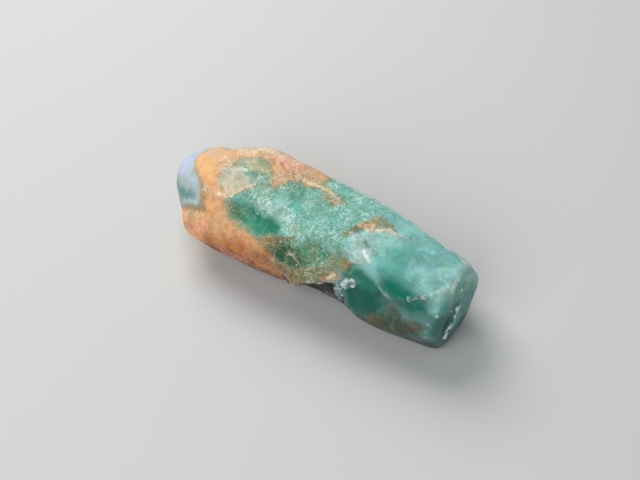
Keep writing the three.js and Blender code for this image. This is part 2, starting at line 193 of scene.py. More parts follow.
CRUST_MARKINGS = [
    Area("crust", PEACH, CRUST_OUTLINE, 0.36, 0.1, 1.0, 0.03),
    # The crust's lower front and foot: its own tan and red-brown earth, darkened with painted shade.
    Area("lower front of the crust", PEACH_TAN, [(-4.7, 168), (-3.6, 167), (-2.6, 160), (-1.9, 156),
        (-0.6, 158), (0.6, 170), (1.4, 180), (0.8, 210), (-2, 250), (-5, 250), (-5.4, 200)], 0.5, 0.2),
    Area("earthy foot of the crust", EARTH, [(-5.2, 189), (-3.9, 184), (-2.6, 180), (-1.6, 175),
        (-0.4, 178), (0.7, 182), (1.2, 190), (0.4, 225), (-2, 270), (-5, 260)], 0.4, 0.2, 0.8),
    Area("pink bloom on the foot", PINK, [(-4.3, 184), (-3.5, 180), (-2.8, 177), (-2.2, 174), (-1.5, 176),
        (-1.8, 186), (-2.4, 191), (-3.6, 191)], 0.3, 0.15, 0.75),
    *several(Line, "rusty streak", RUST,
        ([(-1.7, 187), (-1.35, 182), (-1.2, 176)], 0.2, 0.16, 0.1, 0.85),
        ([(-4.7, 196), (-4.4, 189), (-3.9, 187)], 0.34, 0.22, 0.1, 0.85),
        ([(-3.2, 177), (-2.6, 172), (-2, 173)], 0.08, 0.12, 0.1, 0.5)),
    Line("earthy streak over the scallops", EARTH, [(-0.9, 166), (-0.2, 168), (0.4, 174)], 0.2, 0.2, 0.12,
        0.5),
    Area("collar", COLLAR, [(-7.45, 60), (-7.5, 90), (-7.35, 103), (-6.9, 111), (-6.2, 118), (-5.6, 121),
        (-5.2, 117), (-5.4, 109), (-5.7, 99), (-6.1, 88), (-6.4, 76), (-6.4, 50)], 0.25, 0.1),
    Area("pale foot of the collar", COLLAR_PALE, [(-7.6, 50), (-7.4, 88), (-6.9, 92), (-6.3, 88),
        (-5.9, 80), (-5.9, 50)], 0.25, 0.1, 0.75),
    Spot("cream patch on the collar", CREAM, -5.65, 91, 0.34, 0.22, 0.75, 0.02),
    Area("lobe", PEACH_PINK, [(-6.9, 174), (-6.3, 168), (-5.6, 166), (-5, 163), (-4.6, 157), (-4.2, 163),
        (-4.6, 170), (-5.3, 176), (-6.1, 183), (-6.8, 182)], 0.3, 0.1, 0.6),
    *several(Area, "ochre of the notch", OCHRE_BROWN,
        # The first outline is partly ochre and partly a painted shadow line below the notch.
        ([(-6.5, 165), (-6.2, 160), (-5.6, 157), (-5, 155.5), (-4.9, 158), (-5.5, 160), (-6.1, 165)], 0.2,
            0.05, 0.5),
        ([(-5.6, 133), (-5.3, 139), (-5.2, 144), (-5, 143), (-5, 134), (-5.3, 129)], 0.2, 0.1, 0.5)),
    # A painted glint: a small white dot beside the tip.
    Spot("grain beside the tip", CREAM_WHITE, -5.25, 131.5, 0.09, 0.07, 1.0, 0.03),
    Area("ochre streaks", OCHRE_BROWN, [(-5.5, 98), (-4.9, 102), (-4.5, 97), (-4.6, 90), (-5, 86),
        (-5.4, 88)], 0.2, 0.2, 0.5),
    Line("brown streak", OCHRE_BROWN, [(-5.4, 104), (-5, 101), (-4.7, 98)], 0.1, 0.1, 0.06, 0.6, -0.02),
    Area("hump", CREAM, [(-5.6, 50), (-5.5, 76), (-4.6, 79), (-4, 78), (-3, 76), (-2.2, 74), (-1.6, 70),
        (-0.9, 66), (-0.9, 50), (-3.5, 40), (-5, 40)], 0.3, 0.15, 0.85),
    Line("orange seam of the hump", PEACH, [(-4.2, 75.5), (-3.5, 74), (-2.6, 73)], 0.1, 0.12, 0.08, 0.7),
    *several(Line, "wrinkle of the hump", PEACH_TAN,
        ([(-2.9, 76), (-2.2, 79), (-1.7, 82)], 0.03, 0.09, 0.1, 0.6, -0.02),
        ([(-2.4, 73), (-1.8, 76), (-1.3, 80)], 0.03, 0.09, 0.1, 0.6, -0.02),
        ([(-2.1, 69), (-1.5, 73), (-1, 77)], 0.03, 0.09, 0.1, 0.6, -0.02)),
    Area("pink back of the hump", PEACH_PINK, [(-2.8, 71), (-1.9, 78), (-1.2, 74), (-0.9, 62), (-1.2, 50),
        (-2.4, 50)], 0.3, 0.15, 0.5),
    Area("orange tongue", OCHRE_BROWN, [(-2, 80), (-1.8, 90), (-1.5, 95), (-1.2, 90), (-1, 80), (-0.5, 77),
        (-0.7, 70), (-1.4, 72)], 0.2, 0.2, 0.5),
    Line("brown edge of the tongue", OCHRE_BROWN, [(-1.15, 90), (-0.95, 82), (-0.65, 77)], 0.1, 0.12, 0.06,
        0.6),
    Area("faded orange past the tongue", OCHRE_BROWN, [(-0.9, 80), (-0.2, 80), (0.3, 76), (0.2, 64),
        (-0.7, 60)], 0.25, 0.2, 0.5),
]

LEFT_MARKINGS = [
    Area("sage field", SAGE, [(-4.7, 89), (-4.5, 96), (-3.9, 95), (-3.5, 99), (-2.9, 103), (-2.3, 107),
        (-1.6, 107), (-1.1, 101), (-1.4, 97), (-1.9, 92), (-2.3, 84), (-3, 79), (-4, 81)], 0.34),
    Area("teal in the sage", TEAL, [(-3.6, 98), (-2.9, 103), (-2.2, 105), (-1.5, 102), (-1.6, 98),
        (-1.9, 94), (-2.6, 91), (-3.3, 93)], 0.2, 0.15, 0.85),
    Area("dark corner of the sage", GREEN, [(-4.6, 90), (-4.3, 95), (-3.8, 95), (-3.7, 91), (-4.2, 89)],
        0.15, 0.12, 0.6),
    Area("green tail", TEAL, [(-1.6, 108), (-1.1, 108), (-0.9, 102), (-1.2, 99), (-1.5, 101)], 0.15, 0.12,
        0.7),
    Line("sage stripe", OCHRE_BROWN, [(-4.3, 86), (-3.4, 87.5), (-2.6, 89)], 0.14, 0.2, 0.12, 0.5),
    Line("pale stripe in the teal", AQUA_VEIL, [(-2.7, 97), (-2.2, 98), (-1.9, 97)], 0.1, 0.08, 0.08, 0.6),
]

MIDDLE_MARKINGS = [
    Area("veil over the ridge", AQUA_VEIL, [(-2.7, 112), (-2.6, 121), (-1.9, 124), (-0.9, 125), (0.2, 124),
        (1.4, 126), (2.6, 123), (3.8, 126), (3.9, 117), (2.6, 117), (1.2, 116), (0.4, 119), (-0.1, 110),
        (-0.9, 108), (-1.6, 109)], 0.3, 0.2, 0.75),
    Spot("blue of the veil", TEAL, -2.3, 118, 0.45, 0.25, 0.55),
    Spot("milk in the veil", PALE_MIST, -0.65, 112, 0.42, 0.2, 0.9),
    Area("lower veil", CREAM_WHITE, [(-0.6, 124), (0.4, 128), (1.2, 130), (1.2, 123), (0.2, 117),
        (-1.2, 114), (-1.8, 119)], 0.3, 0.25, 0.3),
    Area("window by the collar", WINDOW, [(-3.5, 133), (-3.3, 140), (-2.8, 144), (-2, 147), (-1.2, 146.5),
        (-0.5, 144), (-0.05, 139), (0.05, 134), (-0.15, 130.5), (-0.7, 129), (-1, 130.5), (-1.7, 127.5),
        (-2.3, 126), (-2.8, 126.5), (-3.2, 130)], 0.2, 0.14, 1.0, -0.05),
    Area("pale start of the window", GREEN, [(-3.4, 131), (-3.2, 139), (-2.8, 143), (-2.4, 141),
        (-2.4, 134), (-2.7, 128)], 0.2, 0.1, 0.8),
    Area("olive start of the window", OLIVE, [(-3.55, 131), (-3.5, 138), (-3.2, 142), (-3.1, 136),
        (-3.25, 130)], 0.15, 0.1, 0.7),
    *several(Spot, "dark of the window", WINDOW_DARK,
        (-1.52, 133.5, 0.26, 0.22, 0.9, -0.03),
        (-0.55, 134, 0.4, 0.32, 1.0, -0.04),
        (-0.98, 136, 0.2, 0.3, 0.75, -0.02)),
    Area("lower deep of the window", WINDOW_DARK, [(-2.4, 135), (-2.3, 143), (-1.8, 146.5), (-1, 146),
        (-0.45, 143), (-0.15, 138), (-0.15, 133), (-0.5, 131.5), (-1, 132.5), (-1.6, 131)], 0.2, 0.1, 0.65),
    Area("teal on the top", TEAL, [(-1, 96), (-0.8, 102), (-0.3, 104), (0.1, 103), (0.35, 98), (0.3, 90),
        (0.3, 83), (-0.2, 80), (-0.7, 82), (-1, 88)], 0.22, 0.15, 0.85),
    Area("bright heart of the teal", CLEAR_TEAL, [(-0.2, 98), (0, 105), (0.3, 112), (0.8, 114), (0.9, 109),
        (0.5, 103), (0.3, 97)], 0.2, 0.12, 0.75),
    Area("bright frost past the teal", AQUA_VEIL, [(0.4, 88), (0.6, 103), (1.3, 110), (1.9, 108), (1.8, 98),
        (1.4, 93), (0.9, 86)], 0.3, 0.15, 0.4),
    *several(Spot, "teal among the frost", TEAL,
        (2.35, 98, 0.34, 0.22, 0.6),
        (2.75, 107, 0.3, 0.16, 0.4)),
    Area("green ground", GREEN, [(-0.8, 150), (0.2, 140), (1, 134), (2.2, 130), (3.6, 132), (3.6, 146),
        (2.6, 150), (1.8, 160), (0.5, 166), (-0.5, 160)], 0.3, 0.2, 0.9),
    Area("olive band", OLIVE, [(-2, 149), (-1.2, 147), (-0.4, 143), (0.2, 137), (0.95, 133), (0.7, 138),
        (0.3, 143), (0.1, 149), (-0.3, 155), (-0.7, 158), (-1.3, 153)], 0.18, 0.15, 0.85),
    Spot("gold in the olive band", ORANGE_SPOT, -0.4, 147, 0.4, 0.2, 0.6),
    Line("gold seam", OLIVE_CREAM, [(0, 140.5), (0.35, 138), (0.75, 134.5), (1, 133)], 0.06, 0.12, 0.14,
        0.6),
    Area("olive window", WINDOW_OLIVE, [(-0.5, 157), (-0.1, 163), (0.6, 164.5), (1.3, 163), (1.9, 159),
        (2, 153), (1.5, 149), (1, 144), (0.45, 144), (0.2, 148), (-0.1, 153)], 0.2, 0.12, 0.85, -0.05),
    Spot("green above the burst", WINDOW, 1.4, 136, 0.35, 0.2, 0.55),
    Spot("depth of the olive window", FOREST, 0.35, 158.5, 0.36, 0.24, 0.85, -0.03),
    Area("window before the chip", GREEN, [(2.4, 143), (3.1, 143), (3.5, 138), (3.6, 131), (3, 127),
        (2.3, 129), (2.2, 136)], 0.25, 0.15, 0.75),
    *several(Spot, "green before the chip", WINDOW,
        (1.9, 142, 0.3, 0.2, 0.7),
        (3.05, 138, 0.25, 0.18, 0.7),
        (2.8, 133.5, 0.22, 0.2, 0.6)),
    Area("tan behind the lip", TAN, [(3.3, 146), (3.9, 148), (4.2, 143), (4.1, 135), (3.9, 127), (3.4, 128),
        (3.3, 137)], 0.25, 0.15, 0.85),
]

PATCH_MARKINGS = [
    Area("milky patch", MILK_PATCH, [(-5, 105), (-4.9, 113), (-4.4, 120), (-3.8, 125), (-3.3, 122),
        (-2.9, 116), (-2.55, 109), (-2.9, 104), (-3.4, 102), (-3.6, 98), (-4, 96), (-4.5, 98)], 0.18),
    Spot("pale top of the patch", CREAM, -3.75, 122, 0.4, 0.2, 0.7, 0.03),
    *several(Line, "fibre", CREAM_WHITE,
        ([(-3.85, 104), (-3.75, 99), (-3.7, 94)], 0.03, 0.06, 0.05, 0.85, 0.04),
        ([(-4.1, 101), (-3.8, 98), (-3.5, 96)], 0.03, 0.06, 0.05, 0.8, 0.04),
        ([(-4.3, 103), (-4.1, 99), (-3.95, 94)], 0.0, 0.07, 0.06, 0.75, 0.02)),
    Line("cream ledge", CREAM, [(-4.2, 129), (-3.7, 128.5), (-3.35, 125), (-3.1, 120), (-2.85, 114.5),
        (-2.6, 109), (-2.45, 106)], 0.04, 0.09, 0.05, 0.85, 0.05),
]

THREAD_MARKINGS = [
    Spot("spark in the window", CREAM_WHITE, -1.6, 130, 0.09, 0.06, 0.9, 0.03),
    *several(Line, "thread in the window", AQUA_VEIL,
        ([(-2.4, 147), (-2.3, 142), (-2.15, 136), (-1.95, 135)], 0.0, 0.06, 0.04, 0.8, 0.01),
        ([(-0.95, 146), (-0.85, 138), (-0.75, 128)], 0.0, 0.06, 0.05, 0.8, 0.01)),
    Spot("spark by the olive window", CREAM_WHITE, 0.1, 163.5, 0.12, 0.06, 0.8, 0.03),
    Line("thread in the olive window", OLIVE_PALE, [(0.05, 160), (0.1, 154), (0.35, 149)], 0.0, 0.06, 0.06,
        0.6, 0.01),
    Area("cream burst", CREAM_WHITE, [(0.8, 149), (1, 152), (1.4, 152), (1.4, 148), (1.1, 146.5)], 0.2,
        0.12, 0.5, 0.03),
    *several(Line, "ray of the burst", OLIVE_PALE,
        ([(0.7, 151.5), (1.05, 151), (1.4, 153), (1.75, 158)], 0.0, 0.06, 0.08, 0.7, 0.01),
        ([(0.8, 147.5), (1, 150.5), (0.85, 154)], 0.0, 0.06, 0.06, 0.6, 0.01),
        ([(1.1, 151), (1.3, 147), (1.25, 143)], 0.0, 0.06, 0.08, 0.6, 0.01)),
]

VEIN_MARKINGS = [
    Area("peach vein", OCHRE_BROWN, [(-0.5, 80), (0.3, 79), (1, 80), (1.7, 87), (2.1, 88), (2.3, 82),
        (2, 77), (1, 74), (0.2, 70), (-0.5, 72)], 0.25, 0.2, 0.5),
    Line("cream rib of the vein", CREAM, [(-0.4, 78), (0.2, 77.5), (0.7, 76), (1.15, 76.2), (1.6, 78),
        (2.1, 80.6), (2.5, 82)], 0.03, 0.12, 0.08, 0.75, 0.03),
    Line("thin branch of the vein", OLIVE_PALE, [(1.7, 83), (1.2, 89), (0.8, 96)], 0.02, 0.07, 0.12, 0.6),
    Line("pale thread past the vein", CREAM_WHITE, [(3.3, 79.8), (3.6, 78.6), (3.9, 77)], 0.03, 0.08, 0.04,
        0.8, 0.02),
    Line("start of the arc", OLIVE_CREAM, [(3.6, 110), (3.75, 105), (3.9, 99), (4, 95)], 0.14, 0.22, 0.1,
        0.6),
    Area("gold of the arc", OCHRE_BROWN, [(4, 91), (4.1, 81), (4.4, 75), (4.9, 76), (5.4, 79), (4.9, 81),
        (4.5, 86)], 0.24, 0.14, 0.5),
    Line("orange of the arc", ARC_ORANGE, [(3.95, 93.5), (4.2, 91), (4.4, 87)], 0.12, 0.16, 0.1, 0.85,
        0.03),
    Line("cream of the arc", CREAM, [(4.5, 90), (4.8, 87.5), (5.2, 84.5), (5.6, 81.8)], 0.06, 0.16, 0.1,
        0.75, 0.03),
    Line("white foot of the arc", CREAM_WHITE, [(4.5, 92.5), (4.9, 89.5), (5.3, 86.5), (5.7, 84)], 0.1, 0.3,
        0.1, 0.5),
    Line("bright end of the arc", CREAM_WHITE, [(5.5, 82), (5.9, 79.8), (6.3, 77.8)], 0.05, 0.07, 0.04,
        0.95, 0.03),
]

LIP_MARKINGS = [
    # The hollow under the lip: its grey stone, darkened near black with painted shade.
    Area("slate under the lip", SLATE_IN_PAINTED_SHADE, [(0.9, 192), (1.7, 186), (2.3, 176), (2.6, 169), (2.9, 169),
        (3.1, 165.5), (3.4, 160.5), (3.8, 156.5), (4.2, 157), (4.5, 166), (4.7, 180), (5, 200), (4.8, 228),
        (5.2, 262), (3.6, 280), (1.6, 266), (0.3, 240), (0.4, 212)], 0.16, 0.12, 1.0, -0.14),
    Line("lilac streak", LILAC, [(2.4, 220), (2.8, 203), (3.2, 192), (3.7, 181), (4.1, 175), (4.5, 179)],
        0.34, 0.25, 0.12, 0.85, 0.04),
    Area("lip", OLIVE_CREAM, [(0.5, 166), (0.9, 172), (1.1, 181), (1.6, 184), (2.1, 176), (2.4, 169.5),
        (2.9, 170), (3.1, 166), (3.35, 161), (3.8, 157), (4.1, 152), (4.2, 147), (3.6, 144), (2.6, 149),
        (2, 154), (1.7, 160), (1.3, 164)], 0.08, 0.06),
    Area("brown foot of the lip", OLIVE, [(0.2, 168), (0.8, 173), (1, 181), (1.7, 190), (2.1, 180),
        (2, 172), (1.5, 166), (0.8, 164)], 0.2, 0.12, 0.9),
    # Painted shadow: near black under the scallop and along the lip's lower edge.
    Area("hollow under the scallop", RUST, [(0.6, 179), (0.8, 175), (1.05, 174.5), (1.15, 179), (1, 187),
        (0.6, 188)], 0.08, 0.04, 0.9, -0.12),
    Line("shadowed edge of the lip", RUST, [(1.45, 203), (1.75, 195), (2.1, 184), (2.3, 178), (2.45, 173)],
        0.08, 0.07, 0.03, 0.9),
    Area("peach end of the lip", PEACH_PINK, [(3.05, 157), (3.3, 160), (3.75, 156), (4.2, 150),
        (4.15, 146.5), (3.7, 148), (3.4, 152)], 0.15, 0.1, 0.65),
    Line("bright streak on the lip", CREAM, [(3.55, 155), (3.65, 151.5), (3.85, 148)], 0.08, 0.07, 0.03,
        0.85, 0.03),
    # The rolled edges of the lip: cream crust with a painted highlight along them.
    Line("rolled edge of the lip", CREAM_WHITE, [(0.95, 173), (1.15, 178), (1.2, 181.5), (1.4, 182.5)],
        0.05, 0.06, 0.03, 0.95, 0.06),
    Line("rolled edge by the hollow", CREAM_WHITE, [(2.15, 173), (2.4, 168.5), (2.6, 168.5), (2.9, 170),
        (3.1, 166.5), (3.3, 162), (3.6, 160), (3.85, 157), (4.05, 154)], 0.05, 0.06, 0.03, 0.9, 0.07),
    Spot("orange spot", ORANGE_SPOT, 4.22, 133, 0.26, 0.34, 0.75),
    Line("dark edge of the orange spot", WINDOW_OLIVE, [(4.5, 139), (4.52, 133), (4.6, 129.5),
        (4.85, 128.5)], 0.04, 0.07, 0.05, 0.5, -0.05),
]

RIGHT_MARKINGS = [
    Area("white veil", WHITE_VEIL, [(3.9, 108), (4.1, 118), (4.3, 126), (4.8, 128), (5.2, 125), (5.7, 118),
        (5.5, 108), (5.2, 98), (4.7, 94), (4.2, 97)], 0.3, 0.15, 0.9),
    Area("haze past the veil", PALE_MIST, [(4.2, 97), (5.6, 118), (6.2, 108), (6, 92), (5.4, 84),
        (4.8, 88)], 0.35, 0.2, 0.6),
    Line("pit", TEAL, [(4.68, 104.4), (4.87, 107), (5.08, 109)], 0.12, 0.07, 0.02, 0.65, -0.08),
    Area("forest face", FOREST, [(4.55, 160), (4.7, 172), (5, 181), (5.5, 186), (6, 180), (6.4, 173),
        (6.6, 164), (6.5, 155), (6.4, 148), (6.1, 143), (5.6, 142), (5, 150), (4.7, 154)], 0.16, 0.1, 1.0,
        -0.03),
    Area("green head of the forest face", HEAD_GREEN, [(4.55, 143), (4.8, 150), (5.4, 151), (6.1, 148),
        (6.3, 143), (6, 138), (5.6, 134), (5, 131), (4.7, 134), (4.5, 139)], 0.26, 0.1, 1.0, -0.03),
    Line("dark head of the forest face", WINDOW_OLIVE, [(4.3, 142), (4.6, 142.5)], 0.12, 0.12, 0.08, 0.7),
    Area("grey face", FOREST_GREY, [(6.1, 150), (6.5, 148), (6.9, 152), (7.1, 160), (6.9, 172), (6.3, 175),
        (6.5, 165), (6.2, 157)], 0.25, 0.12, 0.8),
    Area("depth round the windows", FOREST_GREEN, [(6.2, 144), (6.1, 132), (6.8, 124), (8, 125), (8.9, 130),
        (9, 146), (8.4, 151), (7.4, 150)], 0.45, 0.1, 0.7),
    *several(Area, "emerald window", EMERALD,
        ([(6.4, 143), (6.35, 136), (6.5, 130), (6.9, 127), (7.4, 128), (7.9, 130), (8.25, 134), (8.1, 141),
            (7.6, 144), (7, 143)], 0.32, 0.08, 1.0, -0.03),
        ([(8.1, 143), (8.3, 136), (8.6, 133), (8.85, 138), (8.8, 146), (8.4, 149), (8.1, 147)], 0.3, 0.08,
            1.0, -0.03)),
    Area("dark bridge", FOREST, [(7.2, 145), (7.5, 149), (8.1, 149), (8.1, 143), (7.9, 140.5), (7.5, 142)],
        0.18, 0.1, 0.75),
    Area("glow above the window", CLEAR_TEAL, [(5.9, 130), (6.5, 128), (7.4, 127), (8, 128), (8, 119),
        (7, 115), (6, 119)], 0.35, 0.12, 0.75),
    Area("white lump of the ledge", WHITE_VEIL, [(6.45, 144.5), (6.6, 147), (6.95, 148), (6.95, 145),
        (6.7, 143.5)], 0.1, 0.06, 0.5, 0.05),
    Area("teal mist on the top", CLEAR_TEAL, [(5.7, 100), (5.8, 118), (6.8, 118), (7.3, 112), (7.4, 90),
        (6.9, 86), (6.4, 90)], 0.4, 0.25, 0.6),
    Area("pale mist on the top", PALE_MIST, [(7.2, 92), (7.2, 112), (8.4, 114), (9.2, 110), (9.2, 88),
        (8.2, 90)], 0.3, 0.25, 0.4),
    Area("stained foot", STAIN, [(5.8, 186), (6.2, 177), (6.8, 168), (6.9, 156), (7.2, 152), (7.7, 158),
        (8.1, 168), (8.8, 165), (8.9, 178), (8.2, 188), (7.2, 200), (6.2, 215), (5.6, 205)], 0.35, 0.25,
        0.85),
    # The bevel of the end: pale green stone, made paler with a painted highlight.
    Area("light bevel of the end", END_PALE, [(9.05, 48), (9, 80), (9.05, 110), (9.2, 126), (9.7, 126),
        (9.7, 48)], 0.15, 0.1, 0.9),
    *several(Spot, "brown stain", STAIN_BROWN,
        (8.45, 168, 0.55, 0.35, 0.6),
        (6.4, 180, 0.6, 0.45, 0.6)),
]

CRUMB_MARKINGS = [
    Area("white streak", SNOW, [(4.75, 112.5), (5, 113.5), (5.5, 119.5), (5.5, 122), (5.1, 120)], 0.08,
        0.05, 0.85, 0.03),
    Line("rim of the pit", WHITE_VEIL, [(4.45, 103), (4.6, 108), (4.95, 111.5), (5.25, 110.5), (5, 105),
        (4.6, 101.5), (4.45, 103)], 0.05, 0.1, 0.02, 0.9, 0.03),
    Line("ledge", PALE_MIST, [(6.2, 141), (6.4, 144.5)], 0.05, 0.08, 0.05, 0.4, 0.04),
    Line("white lumps of the healed crack", WHITE_CRUST, [(7.92, 137.5), (8.15, 135), (8.35, 131.5),
        (8.6, 129)], 0.12, 0.16, 0.1, 0.85, 0.06),
    Line("pale end of the healed crack", SNOW, [(8.6, 128), (8.85, 122), (9.15, 114), (9.4, 102)], 0.04,
        0.18, 0.05, 0.4, 0.02),
    Area("rough white crust", WHITE_CRUST, [(3.8, 156), (4, 158.5), (4.3, 157), (4.7, 159), (4.9, 155),
        (5, 150), (4.7, 147), (4.2, 146), (4.05, 151)], 0.2, 0.2, 0.8, 0.08),
    Line("ridge of the white crust", SNOW, [(4.25, 156.5), (4.42, 151.8), (4.53, 148.5), (4.75, 147)], 0.03,
        0.15, 0.1, 0.85, 0.07),
    *several(Spot, "lump of the white crust", SNOW,
        (4.5, 157.0, 0.13, 0.08, 0.8, 0.06),
        (4.82, 153.5, 0.1, 0.09, 0.8, 0.06)),
    *several(Spot, "dent of the white crust", FOREST_GREY,
        (4.66, 152.0, 0.08, 0.07, 0.6, -0.04),
        (4.28, 160.0, 0.09, 0.06, 0.6, -0.04)),
    Spot("lump beside the white crust", SNOW, 3.98, 158.5, 0.1, 0.09, 0.7, 0.05),
    Line("pale edge of the lower lump", SNOW, [(3.85, 166), (4, 162.5), (4.25, 161.5)], 0.04, 0.08, 0.04,
        0.6, 0.04),
    Area("rough white crust below", WHITE_CRUST, [(3.8, 161), (3.95, 169), (4.4, 173), (4.5, 168),
        (4.2, 163)], 0.16, 0.12, 0.6, 0.06),
    # Painted rim highlight: white lines and spots along the back edge and the corner of the end.
    Line("worn back edge", SNOW, [(0.6, 58), (3, 58.5), (6.5, 57), (9.2, 56)], 0.02, 0.12, 0.06, 0.85),
    *several(Spot, "painted highlight spot on the back edge", SNOW,
        (5.2, 57.5, 0.5, 0.07, 0.75),
        (7.9, 56.5, 0.6, 0.08, 0.8)),
    Line("worn corner of the end", SNOW, [(9.2, 57), (9.4, 44), (9.42, 30), (9.4, 15), (9.3, 0)], 0.1, 0.12,
        0.03, 0.85),
    *several(Spot, "white grain of the rim", SNOW,
        (9.15, 171, 0.12, 0.1, 0.4, 0.05),
        (9.2, 161, 0.1, 0.1, 0.4, 0.05),
        (9.1, 179, 0.12, 0.12, 0.4, 0.05)),
    Line("white corner of the veil", CREAM_WHITE, [(4.4, 127), (4.65, 128.5), (5, 125.5)], 0.04, 0.08, 0.05,
        0.75, 0.03),
]

HIDDEN_MARKINGS = [
    Area("veil on the back", AQUA_VEIL, [(0.6, 35), (2.2, 42), (4.8, 34), (5.6, 20), (3.8, 12), (1.4, 18)],
        0.4, 0.4, 0.6),
    Area("window on the back", WINDOW, [(1.8, 8), (3.4, 10), (4.6, 0), (3.8, -10), (2.2, -8)], 0.2, 0.2,
        0.8),
    Area("teal on the back", CLEAR_TEAL, [(5.4, 10), (7.2, 22), (8.6, 12), (8.4, -12), (6.4, -18)], 0.4,
        0.3, 0.6),
    Line("vein on the back", OCHRE_BROWN, [(-0.6, 34), (0.4, 24), (1.2, 28), (2, 16), (2.9, 12)], 0.1, 0.3,
        0.4, 0.45),
    Line("second vein on the back", CREAM, [(0.2, 28), (0.9, 24), (1.6, 25)], 0.02, 0.14, 0.2, 0.5, 0.01),
    Area("forest underneath", FOREST_GREEN, [(4.8, 220), (6.4, 240), (8.2, 236), (8.8, 262), (7, 285),
        (5.2, 270)], 0.35, 0.25, 0.7),
    Area("stain underneath", STAIN, [(2, 240), (3.6, 238), (4.4, 262), (3, 285), (1.4, 270)], 0.3, 0.3,
        0.7),
    Line("crease of the notch", None, [(-6.75, 168), (-6.1, 159), (-5.5, 154), (-5.1, 152.5),
        (-4.85, 151.5)], 0.04, 0.2, 0.03, 1.0, -0.12),
]

# The markings of the stone itself, and those of the coat on it, which end in crisp, ragged edges.
STONE_LAYERS = TIP_MARKINGS + MIDDLE_MARKINGS + HIDDEN_MARKINGS + LEFT_MARKINGS + RIGHT_MARKINGS
COAT_LAYERS = (CRUST_MARKINGS + PATCH_MARKINGS + VEIN_MARKINGS + LIP_MARKINGS + THREAD_MARKINGS
               + CRUMB_MARKINGS)

# Markings of the broken end, whose places are (y, z).
END_STONE_LAYERS = [
    Area("face of the end", END_GREEN, [(-4, -1), (4, -1), (4, 6), (-4, 6)]),
    Area("dark half of the end", FOREST_GREEN, [(-2.2, 2.4), (-2, 3.4), (-1.3, 3.5), (-0.7, 3), (-0.3, 2.2),
        (-0.9, 1.8), (-1.5, 0.9), (-2.1, 1.2)], 0.3, 0.15, 0.6),
    # The top of the end: pale green stone, made paler with a painted highlight.
    Area("pale top of the end", END_PALE, [(-1.6, 4.8), (-0.9, 3.9), (0, 3.7), (0.9, 3.5), (1.5, 3),
        (1.9, 2.2), (2.6, 2.2), (2.2, 4), (1.2, 4.9)], 0.4, 0.2, 0.9),
    Area("shade of the end", DEEP_SHADE, [(-1.9, 0.9), (-1.2, 1.1), (0.2, 1.1), (1.6, 1.3), (1.4, -0.2),
        (-1.6, -0.2)], 0.3, 0.1, 0.6),
    Area("green top of the end", WINDOW, [(-0.6, 3.5), (-0.4, 4.25), (0.1, 4.4), (0.7, 4), (0.9, 3.4),
        (0.5, 2.9), (0, 3.1)], 0.3, 0.15, 0.7),
    Line("dark side of the crack", FOREST, [(-0.1, 3.4), (-0.55, 3.05), (-0.6, 2.6), (-0.95, 2.5),
        (-1.35, 2.1)], 0.16, 0.16, 0.1, 0.7, -0.05),
    # A painted rim highlight: a white line along the right rim of the end.
    Line("pale rim of the end", SNOW, [(1.3, 4.4), (1.9, 3.6), (2.35, 2.7), (2.2, 1.9)], 0.1, 0.12, 0.05,
        0.75),
    Line("pale left rim of the end", LILAC, [(-1.9, 3.5), (-2.4, 2.4), (-1.7, 0.6)], 0.06, 0.14, 0.06, 0.4),
]

END_COAT_LAYERS = [
    Area("milk beside the crack", WHITE_CRUST, [(0.1, 2.2), (-0.2, 2.4), (-0.6, 2), (-1.1, 1.7),
        (-1.35, 1.35), (-0.9, 1.3), (-0.3, 1.6), (0.2, 1.9)], 0.14, 0.12, 0.6, 0.04),
    Line("healed crack of the end", SNOW, [(-0.25, 2.85), (-0.15, 2.6), (-0.32, 2.4), (-0.25, 2.2),
        (-0.5, 2.05), (-0.8, 2), (-0.95, 1.8), (-1.2, 1.65)], 0.05, 0.2, 0.3, 0.85, 0.07),
    Spot("ring of the crack", SNOW, 0.3, 2.42, 0.12, 0.1, 0.8, 0.06),
    Spot("dent of the ring", FOREST, 0.34, 2.4, 0.05, 0.05, 0.7, -0.05),
    Spot("star of the crack", SNOW, -0.3, 2.85, 0.15, 0.1, 0.95, 0.06),
    *several(Spot, "bead of the crack", SNOW,
        (-0.05, 2.25, 0.08, 0.08, 0.8, 0.05),
        (-0.55, 1.75, 0.1, 0.08, 0.7, 0.05),
        (-0.5, 2.5, 0.08, 0.07, 0.8, 0.05),
        (-0.08, 1.95, 0.09, 0.07, 0.7, 0.05),
        (-1.0, 2.1, 0.08, 0.07, 0.7, 0.05)),
    # Painted shadow: dark spots in small dents beside the crack's beads.
    *several(Spot, "painted shadow in a dent of the crack", FOREST,
        (-0.68, 2.14, 0.07, 0.05, 0.8, -0.05),
        (-0.98, 1.86, 0.07, 0.05, 0.8, -0.05),
        (-0.4, 2.3, 0.06, 0.05, 0.8, -0.05)),
    Spot("white foot of the crack", SNOW, -1.22, 1.6, 0.12, 0.18, 0.85, 0.06),
    Spot("bead above the crack", SNOW, 0.1, 3.9, 0.07, 0.07, 0.7, 0.04),
    Spot("pale grain beside the crack", CREAM_WHITE, -0.75, 3.05, 0.08, 0.1, 0.7, 0.04),
    # A painted highlight: a white streak on the top of the end's rim.
    Line("bright knob of the rim", SNOW, [(-0.55, 4.35), (-0.2, 4.55), (0.15, 4.6)], 0.1, 0.2, 0.08, 0.8,
        0.03),
    Spot("white grain of the end", SNOW, -2.05, 3.15, 0.12, 0.12, 0.8, 0.05),
    Spot("second grain of the end", SNOW, -1.75, 3.5, 0.1, 0.1, 0.7, 0.05),
]

# How far the surface faces along the crystal where the end's markings start and where they are full.
END_FACING = (0.5, 0.82)

# Noise of the skin: its coarsest wave in millimetres, its layers, its seed, what a layer keeps of the last.
Cloud = namedtuple("Cloud", "size layers seed keep", defaults=(0.5,))

